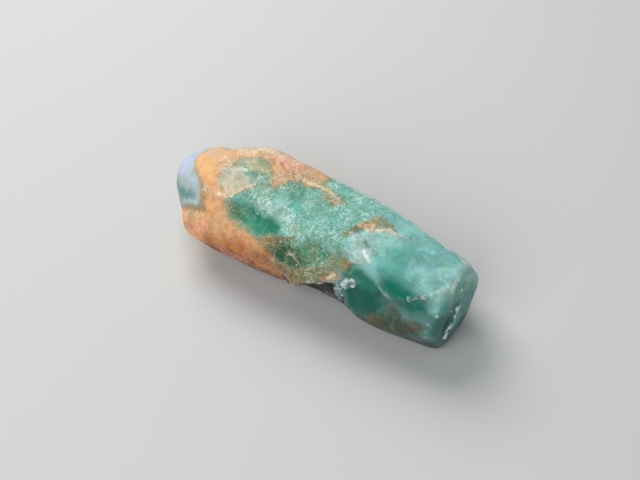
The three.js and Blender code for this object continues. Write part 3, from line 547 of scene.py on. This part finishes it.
STRAY_ALONG = Cloud(0.8, 3, 31, 0.6)
STRAY_ROUND = Cloud(0.8, 3, 47, 0.6)
GRIT = Cloud(0.2, 1, 61)
WAVER = Cloud(1.5, 3, 5)
LUMPS = Cloud(0.6, 4, 101, 0.6)
FROST = Cloud(0.32, 3, 131, 0.6)
GROWTH = Cloud(0.5, 2, 151)

# How far a noise's layers are set apart, its cells before they repeat, and what brings it to about 1.
LAYER_SHIFT = 17.3
LATTICE_CELLS = 256
LATTICE_GAIN = 1.7

# How fine grit roughens the edges of markings, and where a soft spot ends, in shares of its size.
GRIT_STRENGTH = 0.45
GRIT_LIMIT = 0.5
WIDEST_GRIT = 0.12
SPOT_STRAY = 0.08
SPOT_GRIT = 0.3
SPOT_END = (2.2, 1.2)

# Below this cover the coat has no finish of its own, and the stone's stands in for it.
LEAST_COVER = 0.01

# Where the finishes of the unmarked stone come in, along it or round it, and how strongly.
PALE_START = (3.4, 5.4)
PALE_WAVER = 0.4
# The front's darker green is partly the stone's own and partly painted shade.
FRONT_SHADE_ANGLES = (138.0, 150.0)
FRONT_SHADE_START = (2.0, 5.0)
FRONT_SHADE_STRENGTH = 0.6
# The underside's near black is painted shade.
UNDERSIDE_SHADE_START = (176.0, 200.0)
UNDERSIDE_SHADE_END = (320.0, 250.0)
UNDERSIDE_SHADE_WAVER = 8.0
UNDERSIDE_SHADE_STRENGTH = 0.85
TIP_START = (-6.8, -7.8)

# The fine relief, in millimetres, and how the growth lines are drawn out along the crystal.
LUMP_HEIGHT = 0.04
FROST_HEIGHT = 0.02
FROST_SHARPNESS = 2.0
GROWTH_HEIGHT = 0.005
GROWTH_STRETCH = np.array([0.25, 1.0, 1.0])

# Noises of the surface: waves to the millimetre, layers, roughness and distortion.
EDGE_NOISE = (4.0, 5.0, 0.7, 0.5)
LIGHT_NOISE = (1.3, 4.0, 0.65, 0.6)
WARM_NOISE = (1.9, 3.0, 0.6, 0.4)
BLOTCH_NOISE = (2.4, 3.0, 0.6, 0.6)
GROUP_NOISE = (1.3, 2.0, 0.5, 0.0)
EARTH_NOISE = (4.2, 4.0, 0.7, 0.5)
SKIN_NOISE = (8.0, 3.0, 0.5, 0.0)

# Threads: waves to the millimetre and width. Their noise: layers, roughness and distortion.
FROST_THREADS = (1.8, 0.05)
FROST_CURLS = (2.8, 0.06)
CRUST_THREADS = (2.0, 0.05)
CRUST_CURLS = (3.0, 0.06)
THREAD_NOISE = (2.0, 0.5, 1.8)
THREAD_CORE = 0.45
THREAD_GAP = 3.0

# Dots: cells to the millimetre, radius in cells and the share of the cells that have one.
# The frost's and the crust's white dots are painted glints.
FROST_PAINTED_GLINTS = (3.4, 0.14, 0.25)
CRUST_PAINTED_GLINTS = (4.2, 0.18, 0.18)
PITS = (2.6, 0.25, 0.3)
DOT_CORE = 0.6

# Rises: where a value's rise starts and ends, and what it rises from and to if that isn't 0 and 1.
RAGGED_RISE = (0.2, 0.6)
FRINGE_RISE = (0.1, 0.2)
LIGHT_RISE = (0.34, 0.66, 0.78, 1.22)
WARM_RISE = (0.3, 0.7, 0.92, 1.08)
VARIED_RISE = (0.0, 0.35, 0.3, 1.0)
GROUP_RISE = (0.4, 0.58, 0.45, 1.0)
BLOTCH_FALL = (0.38, 0.5, 0.8, 0.0)
CRUST_GAP_RISE = (0.15, 0.6, 0.0, 0.7)
DARK_EARTH_FALL = (0.38, 0.48, 1.0, 0.0)
PALE_EARTH_RISE = (0.6, 0.68)
THREAD_RISE = (0.0, 0.9)
GLINT_RISE = (0.1, 0.5)
ROUGHNESS_FALL = (0.0, 1.0, 0.66, 0.24)
SKIN_RELIEF_FALL = (0.2, 0.8, 0.2, 0.05)

# How far a smooth and a ragged edge of the coat stray, how much of their cover they cut off, and how much
# white flecks count beside grain in making an edge ragged.
EDGE_STRAY = (0.6, 2.0)
EDGE_CUT = (0.02, 0.2)
FLECK_RAG = 0.8

# Strengths of the surface's details.
FRINGE_STRENGTH = 2.6
GAP_STRENGTH = 0.85
THREAD_STRENGTH = 0.85
CURL_STRENGTH = 0.8
PIT_STRENGTH = 0.8
BLOTCH_ROUGHNESS = 0.3
THREAD_ROUGHNESS = 0.15
THREAD_RELIEF = 0.5
EARTH_RELIEF = 2.0
BUMP_DISTANCE = 0.09

# A light tint keeps so much of a colour's brightness, gains so much, and keeps so much of its saturation.
TINT_KEEPS = 0.7
TINT_GAINS = 0.38
FROST_SATURATION = 0.52
CRUST_SATURATION = 0.45

# Colours of the details: the crust's stain on the stone beside it, gaps and pits, and painted glints.
STAIN_COLOUR = (0.30, 0.22, 0.06, 1.0)
FROST_GAP_TINT = (0.34, 0.58, 0.53, 1.0)
CRUST_GAP_TINT = (0.6, 0.36, 0.25, 1.0)
PIT_COLOUR = (0.30, 0.07, 0.02, 1.0)
FROST_GLINT_COLOUR = (0.92, 1.0, 0.94, 1.0)
CRUST_GLINT_COLOUR = (1.0, 0.93, 0.78, 1.0)

# The stone's own settings on its shader.
STONE_SHADER = {
    "Subsurface Weight": 0.05,
    "Subsurface Radius": (1.0, 1.0, 0.9),
    "Subsurface Scale": 0.2 * MM,
    "IOR": 1.57,
    "Specular IOR Level": 0.25,
}


def smoothstep(low, high, value):
    """0 below low, 1 above high, and a smooth rise between them."""
    t = np.clip((value - low) / (high - low), 0.0, 1.0)
    return t * t * (3.0 - 2.0 * t)


def lattice_noise(points, seed):
    """Smooth noise, about -1 to 1, at many points whose lattice has steps of 1."""
    source = np.random.default_rng(seed)
    order = source.permutation(LATTICE_CELLS)
    leans = source.normal(size=(LATTICE_CELLS, 3))
    leans /= np.linalg.norm(leans, axis=1, keepdims=True)
    cell = np.floor(points).astype(int)
    part = points - cell
    ease = part ** 3 * (part * (part * 6.0 - 15.0) + 10.0)
    total = np.zeros(len(points))
    for corner in itertools.product((0, 1), repeat=3):
        spot = (cell + corner) % LATTICE_CELLS
        entry = order[(order[spot[:, 0]] + spot[:, 1]) % LATTICE_CELLS]
        entry = order[(entry + spot[:, 2]) % LATTICE_CELLS]
        rise = (leans[entry] * (part - corner)).sum(axis=1)
        total += rise * np.prod(np.where(corner, ease, 1.0 - ease), axis=1)
    return total * LATTICE_GAIN


def cloud_noise(points, cloud):
    """Noise with finer and fainter layers on it."""
    total = np.zeros(len(points))
    for layer in range(cloud.layers):
        moved = points / cloud.size * 2.0 ** layer + layer * LAYER_SHIFT
        total += cloud.keep ** layer * lattice_noise(moved, cloud.seed + layer)
    return total


def cad_tree():
    """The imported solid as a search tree, in millimetres."""
    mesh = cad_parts[NODE].data
    corners = [vertex.co / MM for vertex in mesh.vertices]
    faces = [tuple(polygon.vertices) for polygon in mesh.polygons]
    return BVHTree.FromPolygons(corners, faces)


def ray_rows():
    """Start point and lean of every row of rays: two fans of rays join the rows along the body."""
    quarter = math.pi / 2
    tip = [(AXIS_START, -quarter * (1.0 - i / TIP_ROWS)) for i in range(1, TIP_ROWS)]
    body = [(AXIS_START + (AXIS_END - AXIS_START) * i / BODY_ROWS, 0.0) for i in range(BODY_ROWS + 1)]
    end = [(AXIS_END, quarter * i / END_ROWS) for i in range(1, END_ROWS)]
    return tip + body + end


def ray_direction(lean, turn):
    """Direction of one ray: lean is its angle to the cross-section, turn goes round the axis."""
    return np.array([math.sin(lean), math.cos(lean) * math.cos(turn), math.cos(lean) * math.sin(turn)])


def blurred(grid, sigma, axis, past_ends):
    """A grid smoothed by a bell curve along one axis."""
    reach = int(math.ceil(3 * sigma))
    weights = np.exp(-0.5 * (np.arange(-reach, reach + 1) / sigma) ** 2)
    padding = [(0, 0), (0, 0)]
    padding[axis] = (reach, reach)
    padded = np.pad(grid, padding, mode=past_ends)
    return np.apply_along_axis(np.convolve, axis, padded, weights / weights.sum(), "valid")


def measure_skin():
    """Points of the smooth skin as a grid of rows and columns, with the two poles."""
    tree = cad_tree()
    rows = ray_rows()
    starts = np.array([start for start, _ in rows])
    turns = [2.0 * math.pi * j / COLUMNS for j in range(COLUMNS)]
    directions = np.array([[ray_direction(lean, turn) for turn in turns] for _, lean in rows])
    reaches = np.empty((len(rows), COLUMNS))
    for i, start in enumerate(starts):
        origin = Vector(start)
        for j in range(COLUMNS):
            reaches[i, j] = tree.ray_cast(origin, Vector(directions[i, j]))[3]
    tip_reach = tree.ray_cast(Vector(AXIS_START), Vector((-1, 0, 0)))[3]
    end_reach = tree.ray_cast(Vector(AXIS_END), Vector((1, 0, 0)))[3]
    reaches = blurred(reaches, SMOOTHING_ROWS, 0, "edge")
    reaches = blurred(reaches, SMOOTHING_COLUMNS, 1, "wrap")
    grid = starts[:, None, :] + directions * reaches[:, :, None]
    return grid, AXIS_START - np.array([tip_reach, 0.0, 0.0]), AXIS_END + np.array([end_reach, 0.0, 0.0])


def skin_normals(grid):
    """Outward directions of the grid's points."""
    along = np.gradient(grid, axis=0)
    across = np.roll(grid, -1, axis=1) - np.roll(grid, 1, axis=1)
    normals = np.cross(across, along)
    return normals / np.linalg.norm(normals, axis=2, keepdims=True)


def skin_places(points):
    """Place along the crystal and arc length round it, in millimetres, of many points."""
    share = np.clip((points[:, 0] - AXIS_START[0]) / (AXIS_END[0] - AXIS_START[0]), 0.0, 1.0)
    middle = AXIS_START + (AXIS_END - AXIS_START) * share[:, None]
    angle = np.degrees(np.arctan2(points[:, 2] - middle[:, 2], points[:, 1] - middle[:, 1]))
    angle = (angle - LOWEST_ANGLE) % 360.0 + LOWEST_ANGLE
    return np.column_stack([points[:, 0], angle]) * SKIN_UNIT


def distance_to_line(flat, corners):
    """Distance from many flat points to a line of corners."""
    nearest = np.full(len(flat), np.inf)
    for start, end in zip(corners, corners[1:]):
        run = end - start
        share = np.clip((flat - start) @ run / (run @ run), 0.0, 1.0)
        nearest = np.minimum(nearest, np.linalg.norm(flat - start - share[:, None] * run, axis=1))
    return nearest


def inside_outline(flat, corners):
    """Whether many flat points lie inside a closed line of corners."""
    inside = np.zeros(len(flat), bool)
    for (x0, v0), (x1, v1) in zip(corners, corners[1:]):
        crosses = (v0 > flat[:, 1]) != (v1 > flat[:, 1])
        reach = x0 + (flat[:, 1] - v0) * (x1 - x0) / ((v1 - v0) or 1.0)
        inside ^= crosses & (flat[:, 0] < reach)
    return inside


def area_cover(area, flat, unit, stray, grit):
    """How much of one area covers each point."""
    corners = np.array(area.outline + area.outline[:1]) * unit
    moved = flat + stray * area.rag
    distance = distance_to_line(moved, corners)
    depth = np.where(inside_outline(moved, corners), distance, -distance)
    return smoothstep(-area.soft, area.soft, depth + grit * min(area.soft, WIDEST_GRIT))


def line_cover(line, flat, unit, stray, grit):
    """How much of one line covers each point."""
    distance = distance_to_line(flat + stray * line.rag, np.array(line.points) * unit) + grit * line.soft
    half = line.width / 2
    return 1.0 - smoothstep(half, half + line.soft, distance)


def spot_cover(spot, flat, unit, stray, grit):
    """How much of one soft spot covers each point."""
    middle = np.array([spot.x, spot.angle]) * unit
    reach = (flat + SPOT_STRAY * stray - middle) / np.array([spot.along, spot.round])
    bell = np.exp(-((reach ** 2).sum(axis=1) + SPOT_GRIT * grit) ** 2)
    return bell * smoothstep(*SPOT_END, np.abs(reach).max(axis=1))


COVERS = {Area: area_cover, Line: line_cover, Spot: spot_cover}


def lay_markings(points, flat, unit, layers, paint):
    """Lays markings over a paint, one over the other. Gives the paint and how far the markings stand up.

    The paint's last column is how much of the ground is covered.
    """
    stray = np.column_stack([cloud_noise(points, STRAY_ALONG), cloud_noise(points, STRAY_ROUND)])
    grit = np.clip(cloud_noise(points, GRIT) * GRIT_STRENGTH, -GRIT_LIMIT, GRIT_LIMIT)
    height = np.zeros(len(points))
    for marking in layers:
        cover = COVERS[type(marking)](marking, flat, unit, stray, grit)
        height += marking.height * cover
        if marking.finish:
            share = marking.strength * cover[:, None]
            paint = paint * (1.0 - share) + np.array(marking.finish + (1.0,)) * share
    return paint, height


def base_finish(points, flat):
    """The unmarked stone: milky at the tip, mint by the crust, pale towards the end, and darker on the front
    and below with painted shade.
    """
    x, angle = (flat / SKIN_UNIT).T
    waver = cloud_noise(points, WAVER)
    front = smoothstep(*FRONT_SHADE_ANGLES, angle) * smoothstep(*FRONT_SHADE_START, x) * FRONT_SHADE_STRENGTH
    underside = smoothstep(*UNDERSIDE_SHADE_START, angle + UNDERSIDE_SHADE_WAVER * waver)
    underside *= smoothstep(*UNDERSIDE_SHADE_END, angle) * UNDERSIDE_SHADE_STRENGTH
    base = np.tile(np.array(MINT + (1.0,)), (len(points), 1))
    for finish, share in (
        (PALE, smoothstep(*PALE_START, x + PALE_WAVER * waver)),
        (FOREST_GREEN, front),
        (DEEP_SHADE, underside),
        (TIP_MILK, smoothstep(*TIP_START, x)),
    ):
        base = base * (1.0 - share[:, None]) + np.array(finish + (1.0,)) * share[:, None]
    return base


def paint_skin(points, normals):
    """The stone's finish, the coat's with its cover, and the height of the markings, at each point."""
    flat = skin_places(points)
    across = points[:, 1:]
    stone, height = lay_markings(points, flat, SKIN_UNIT, STONE_LAYERS, base_finish(points, flat))
    bare = np.zeros_like(stone)
    coat, coat_height = lay_markings(points, flat, SKIN_UNIT, COAT_LAYERS, bare)
    end_stone, end_height = lay_markings(points, across, END_UNIT, END_STONE_LAYERS, stone)
    end_coat, end_coat_height = lay_markings(points, across, END_UNIT, END_COAT_LAYERS, bare)
    end = smoothstep(*END_FACING, normals[:, 0]) * (points[:, 0] > AXIS_END[0])
    height = (height + coat_height) * (1.0 - end) + (end_height + end_coat_height) * end
    stone += (end_stone - stone) * end[:, None]
    coat += (end_coat - coat) * end[:, None]
    cover = coat[:, FINISH_SIZE:]
    coat = np.where(cover > LEAST_COVER, coat / np.maximum(cover, LEAST_COVER), stone)
    return stone[:, :FINISH_SIZE], coat[:, :FINISH_SIZE], cover[:, 0], height


def relief_heights(points, paint):
    """Height of the fine relief at each point: earthy lumps, frosted grain and faint growth lines."""
    flecks, grain, gloss = paint[:, 3:].T
    lumps = grain * LUMP_HEIGHT * cloud_noise(points, LUMPS)
    frost = flecks * FROST_HEIGHT * (1.0 - np.abs(cloud_noise(points, FROST)) * FROST_SHARPNESS)
    return lumps + frost + gloss * GROWTH_HEIGHT * cloud_noise(points * GROWTH_STRETCH, GROWTH)


def skin_faces(row_count):
    """Faces of the closed skin: vertex 0 is the tip's pole, the last one the end's."""
    faces = []
    last = 1 + row_count * COLUMNS

    def at(row, column):
        return 1 + row * COLUMNS + column % COLUMNS

    for j in range(COLUMNS):
        faces.append((0, at(0, j + 1), at(0, j)))
        for i in range(row_count - 1):
            faces.append((at(i, j), at(i, j + 1), at(i + 1, j + 1), at(i + 1, j)))
        faces.append((at(row_count - 1, j), at(row_count - 1, j + 1), last))
    return faces


def add_values(mesh, name, values):
    """Stores one value of each point where the material reads it."""
    mesh.attributes.new(name, "FLOAT", "POINT").data.foreach_set("value", values.astype(np.float32))


def add_finish(mesh, layer, paint):
    """Stores the finish of one layer at each point where the material reads it."""
    opaque = np.column_stack([paint[:, :3], np.ones(len(paint))])
    colour = mesh.attributes.new(layer + "_paint", "FLOAT_COLOR", "POINT")
    colour.data.foreach_set("color", opaque.astype(np.float32).ravel())
    for name, values in zip(SHARES, paint[:, 3:].T):
        add_values(mesh, layer + "_" + name, values)


class Nodes:
    """A short way of laying out a material's nodes."""

    def __init__(self, material):
        material.use_nodes = True
        self.tree = material.node_tree
        self.shader = self.tree.nodes["Principled BSDF"]

    def add(self, kind, inputs=None, **settings):
        """Adds a node, sets its properties and fills its inputs with values or links."""
        node = self.tree.nodes.new(kind)
        for name, value in settings.items():
            setattr(node, name, value)
        for key, value in (inputs or {}).items():
            self.fill(node.inputs[key], value)
        return node

    def fill(self, socket, value):
        """Links a node's output to a socket, or sets the socket's own value."""
        if isinstance(value, bpy.types.NodeSocket):
            self.tree.links.new(value, socket)
        else:
            socket.default_value = value

    def read(self, name, output="Fac"):
        """A value stored on the mesh, or a colour."""
        return self.add("ShaderNodeAttribute", attribute_name=name).outputs[output]

    def math(self, operation, *values, clamp=False):
        """The result of one calculation."""
        node = self.add("ShaderNodeMath", dict(enumerate(values)), operation=operation, use_clamp=clamp)
        return node.outputs["Value"]

    def chain(self, operation, *values):
        """One calculation carried on from each value to the next."""
        return functools.reduce(functools.partial(self.math, operation), values)

    def times(self, *values):
        """All the values multiplied."""
        return self.chain("MULTIPLY", *values)

    def plus(self, *values):
        """All the values added."""
        return self.chain("ADD", *values)

    def most(self, *values):
        """The largest of the values."""
        return self.chain("MAXIMUM", *values)

    def less(self, value, taken):
        """One value taken from another."""
        return self.math("SUBTRACT", value, taken)

    def between(self, share, first, second):
        """A value so far on the way from the first to the second."""
        return self.plus(first, self.times(share, self.less(second, first)))

    def noise(self, place, scale, detail, roughness, distortion):
        """Noise between 0 and 1 with so many waves to the millimetre."""
        inputs = {"Vector": place, "Scale": scale, "Detail": detail, "Roughness": roughness,
                  "Distortion": distortion}
        return self.add("ShaderNodeTexNoise", inputs).outputs["Fac"]

    def rise(self, value, low, high, bottom=0.0, top=1.0):
        """A smooth rise from bottom to top between two values."""
        inputs = {"Value": value, "From Min": low, "From Max": high, "To Min": bottom, "To Max": top}
        node = self.add("ShaderNodeMapRange", inputs, interpolation_type="SMOOTHSTEP")
        return node.outputs["Result"]

    def threads(self, place, scale, width):
        """Thin curling threads, where a noise crosses its middle, and the dark gaps along them."""
        crossing = self.math("ABSOLUTE", self.less(self.noise(place, scale, *THREAD_NOISE), 0.5))
        threads = self.rise(crossing, width * THREAD_CORE, width, 1.0, 0.0)
        return threads, self.rise(crossing, width, width * THREAD_GAP, 1.0, 0.0)

    def dots(self, place, scale, radius, share):
        """Round dots in some of the cells of a pattern."""
        cells = self.add("ShaderNodeTexVoronoi", {"Vector": place, "Scale": scale})
        lot = self.add("ShaderNodeSeparateColor", {0: cells.outputs["Color"]}).outputs[0]
        inside = self.rise(cells.outputs["Distance"], radius * DOT_CORE, radius, 1.0, 0.0)
        return self.times(inside, self.math("LESS_THAN", lot, share))

    def lighter(self, colour, saturation):
        """A light tint of a colour, which keeps so much of its saturation."""
        hue, strength, value = self.add("ShaderNodeSeparateColor", {0: colour}, mode="HSV").outputs
        value = self.plus(self.times(value, TINT_KEEPS), TINT_GAINS)
        inputs = {0: hue, 1: self.times(strength, saturation), 2: value}
        return self.add("ShaderNodeCombineColor", inputs, mode="HSV").outputs[0]

    def mix(self, share, first, second, blend="MIX"):
        """Two colours mixed."""
        node = self.add("ShaderNodeMix", data_type="RGBA", blend_type=blend)
        self.fill(node.inputs[0], share)
        self.fill(node.inputs[6], first)
        self.fill(node.inputs[7], second)
        return node.outputs[2]

    def tinted(self, colour, tint):
        """A colour multiplied by a tint."""
        return self.mix(1.0, colour, tint, "MULTIPLY")


def laid_finish(nodes, place):
    """The stone's finish with the coat's over it. A rough coat has a ragged edge and stains the stone."""
    cover = nodes.read("cover")
    grain = nodes.read("coat_grain")
    ragged = nodes.rise(nodes.plus(grain, nodes.times(nodes.read("coat_flecks"), FLECK_RAG)), *RAGGED_RISE)
    rag = nodes.times(nodes.less(nodes.noise(place, *EDGE_NOISE), 0.5), nodes.between(ragged, *EDGE_STRAY))
    low = nodes.between(ragged, *EDGE_CUT)
    share = nodes.rise(nodes.plus(cover, rag), low, nodes.less(1.0, low))
    fringe = nodes.times(cover, nodes.less(1.0, cover), nodes.rise(grain, *FRINGE_RISE), FRINGE_STRENGTH)
    stone = nodes.mix(fringe, nodes.read("stone_paint", "Color"), STAIN_COLOUR)
    colour = nodes.mix(share, stone, nodes.read("coat_paint", "Color"))
    return colour, *(nodes.between(share, nodes.read("stone_" + name), nodes.read("coat_" + name))
                     for name in SHARES)


def varied(nodes, place, colour, roughened):
    """A colour made lighter, darker, warmer and cooler by places, most where the skin is rough."""
    light = nodes.rise(nodes.noise(place, *LIGHT_NOISE), *LIGHT_RISE)
    warm = nodes.rise(nodes.noise(place, *WARM_NOISE), *WARM_RISE)
    inputs = {0: nodes.times(light, warm), 1: light, 2: nodes.math("DIVIDE", light, warm)}
    tint = nodes.add("ShaderNodeCombineColor", inputs).outputs[0]
    return nodes.mix(nodes.rise(roughened, *VARIED_RISE), colour, nodes.tinted(colour, tint))


def frosted(nodes, place, colour, flecks):
    """Light threads and painted glints over dark gaps. Gives the colour, the threads' share and the blotches.
    """
    blotches = nodes.noise(place, *BLOTCH_NOISE)
    groups = nodes.rise(nodes.noise(place, *GROUP_NOISE), *GROUP_RISE)
    threads, beside = nodes.threads(place, *FROST_THREADS)
    curls, beside_curls = nodes.threads(place, *FROST_CURLS)
    gaps = nodes.most(nodes.rise(blotches, *BLOTCH_FALL), nodes.times(beside, GAP_STRENGTH),
                      nodes.times(beside_curls, groups, GAP_STRENGTH))
    light_colour = nodes.lighter(colour, FROST_SATURATION)
    colour = nodes.mix(nodes.times(gaps, flecks), colour, nodes.tinted(colour, FROST_GAP_TINT))
    light = nodes.times(nodes.most(threads, curls), groups, nodes.rise(flecks, *THREAD_RISE), THREAD_STRENGTH)
    colour = nodes.mix(light, colour, light_colour)
    # Painted glints: sparse small white dots.
    painted_glints = nodes.times(nodes.dots(place, *FROST_PAINTED_GLINTS), nodes.rise(flecks, *GLINT_RISE))
    return nodes.mix(painted_glints, colour, FROST_GLINT_COLOUR), light, blotches


def crusted(nodes, place, colour, grain):
    """Red-brown pits, cream threads, grains and painted glints of the earthy crust. Gives the colour and the
    grains.
    """
    earth = nodes.noise(place, *EARTH_NOISE)
    threads, beside = nodes.threads(place, *CRUST_THREADS)
    curls, beside_curls = nodes.threads(place, *CRUST_CURLS)
    along = nodes.times(nodes.most(beside, beside_curls), nodes.rise(grain, *CRUST_GAP_RISE))
    dark = nodes.most(nodes.rise(earth, *DARK_EARTH_FALL), along)
    pale_colour = nodes.lighter(colour, CRUST_SATURATION)
    colour = nodes.mix(nodes.times(dark, grain), colour, nodes.tinted(colour, CRUST_GAP_TINT))
    pits = nodes.times(nodes.dots(place, *PITS), grain, PIT_STRENGTH)
    colour = nodes.mix(pits, colour, PIT_COLOUR)
    pale = nodes.most(nodes.rise(earth, *PALE_EARTH_RISE), threads, nodes.times(curls, CURL_STRENGTH))
    colour = nodes.mix(nodes.times(pale, nodes.rise(grain, *THREAD_RISE)), colour, pale_colour)
    # Painted glints: sparse small white dots.
    painted_glints = nodes.times(nodes.dots(place, *CRUST_PAINTED_GLINTS), nodes.rise(grain, *GLINT_RISE))
    return nodes.mix(painted_glints, colour, CRUST_GLINT_COLOUR), earth


def stone_material():
    """The stone's surface: its painted finish with flecks, threads, grain, painted glints and fine relief."""
    material = bpy.data.materials.new("emerald")
    nodes = Nodes(material)
    metres = nodes.add("ShaderNodeTexCoord").outputs["Object"]
    scaled = nodes.add("ShaderNodeVectorMath", {0: metres, "Scale": 1.0 / MM}, operation="SCALE")
    place = scaled.outputs["Vector"]
    colour, flecks, grain, gloss = laid_finish(nodes, place)
    colour = varied(nodes, place, colour, nodes.plus(flecks, grain))
    colour, light, blotches = frosted(nodes, place, colour, flecks)
    colour, earth = crusted(nodes, place, colour, grain)
    nodes.fill(nodes.shader.inputs["Base Color"], colour)

    uneven = nodes.times(nodes.less(blotches, 0.5), BLOTCH_ROUGHNESS)
    rough = nodes.plus(nodes.rise(gloss, *ROUGHNESS_FALL), uneven)
    rough = nodes.math("ADD", rough, nodes.times(light, THREAD_ROUGHNESS), clamp=True)
    nodes.fill(nodes.shader.inputs["Roughness"], rough)

    frost_height = nodes.times(nodes.plus(blotches, nodes.times(light, THREAD_RELIEF)), flecks)
    earth_height = nodes.times(earth, grain, EARTH_RELIEF)
    skin_height = nodes.times(nodes.noise(place, *SKIN_NOISE), nodes.rise(gloss, *SKIN_RELIEF_FALL))
    height = nodes.plus(frost_height, earth_height, skin_height)
    bump = nodes.add("ShaderNodeBump", {"Height": height, "Strength": 1.0, "Distance": BUMP_DISTANCE * MM})
    nodes.fill(nodes.shader.inputs["Normal"], bump.outputs["Normal"])
    for name, value in STONE_SHADER.items():
        nodes.shader.inputs[name].default_value = value
    return material


def put(name, data):
    """Adds an object with its data to the scene."""
    thing = bpy.data.objects.new(name, data)
    bpy.context.scene.collection.objects.link(thing)
    return thing


def with_poles(values):
    """Values of the grid's points with those of the two poles before and after them."""
    return np.concatenate([values[:COLUMNS].mean(axis=0, keepdims=True), values,
                           values[-COLUMNS:].mean(axis=0, keepdims=True)])


def make_crystal():
    """The crystal's skin as one mesh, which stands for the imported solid."""
    grid, tip_pole, end_pole = measure_skin()
    normals = skin_normals(grid).reshape(-1, 3)
    points = grid.reshape(-1, 3)
    stone, coat, cover, height = paint_skin(points, normals)
    relief = relief_heights(points, stone + (coat - stone) * cover[:, None])
    points = points + normals * (height + relief)[:, None]
    points = np.vstack([tip_pole, points, end_pole])
    points[:, 2] = np.maximum(points[:, 2], 0.0)
    mesh = bpy.data.meshes.new("crystal_skin")
    mesh.from_pydata((points * MM).tolist(), [], skin_faces(len(grid)))
    mesh.shade_smooth()
    add_finish(mesh, "stone", with_poles(stone))
    add_finish(mesh, "coat", with_poles(coat))
    add_values(mesh, "cover", with_poles(cover))
    mesh.materials.append(stone_material())
    crystal = put("crystal_skin", mesh)
    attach(crystal, "root")
    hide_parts(NODE)


def make_floor():
    """A plain pale floor at the height that the crystal lies on."""
    mesh = bpy.data.meshes.new("floor")
    half = FLOOR_WIDTH * MM / 2
    corners = [(-half, -half, 0), (half, -half, 0), (half, half, 0), (-half, half, 0)]
    mesh.from_pydata(corners, [], [(0, 1, 2, 3)])
    material = bpy.data.materials.new("pale_floor")
    shader = Nodes(material).shader
    shader.inputs["Base Color"].default_value = FLOOR_COLOUR
    shader.inputs["Roughness"].default_value = FLOOR_ROUGHNESS
    mesh.materials.append(material)
    floor = put("floor", mesh)


def put_looking(name, data, azimuth, elevation, distance, target=(0.0, 0.0, 0.0), roll=0.0):
    """Adds a camera or light that looks at a target from so far away. Millimetres and degrees."""
    turn = Matrix.Rotation(math.radians(azimuth), 4, "Z")
    tilt = Matrix.Rotation(math.radians(90.0 - elevation), 4, "X")
    spin = Matrix.Rotation(math.radians(roll), 4, "Z")
    away = Matrix.Translation((0.0, 0.0, distance * MM))
    thing = put(name, data)
    thing.matrix_world = Matrix.Translation(Vector(target) * MM) @ turn @ tilt @ spin @ away
    return thing


def make_camera():
    """The camera, at the height and angle from which the crystal is seen."""
    data = bpy.data.cameras.new("camera")
    data.lens = LENS
    data.sensor_width = SENSOR_WIDTH
    data.clip_start = CLIP_START * MM
    bpy.context.scene.camera = put_looking("camera", data, CAMERA_AZIMUTH, CAMERA_ELEVATION, CAMERA_DISTANCE,
                                           CAMERA_TARGET, CAMERA_ROLL)


def make_light(name, azimuth, elevation, distance, size, power, colour):
    """A square soft light that faces the crystal from one side."""
    data = bpy.data.lights.new(name, "AREA")
    data.shape = "SQUARE"
    data.size = size * MM
    data.energy = power
    data.color = colour
    put_looking(name, data, azimuth, elevation, distance)


def make_surround():
    """An even light from everywhere, and plain colours in the render."""
    world = bpy.data.worlds.new("surround")
    world.use_nodes = True
    background = world.node_tree.nodes["Background"]
    background.inputs["Color"].default_value = SURROUND_COLOUR
    background.inputs["Strength"].default_value = SURROUND_STRENGTH
    bpy.context.scene.world = world
    bpy.context.scene.view_settings.view_transform = "Standard"


make_camera()
make_light("key", 240.0, 52.0, distance=120.0, size=80.0, power=0.11, colour=(1.0, 0.99, 0.97))
make_light("fill", 8.0, 40.0, distance=130.0, size=110.0, power=0.10, colour=(0.97, 0.98, 1.0))
make_surround()
make_floor()
make_crystal()
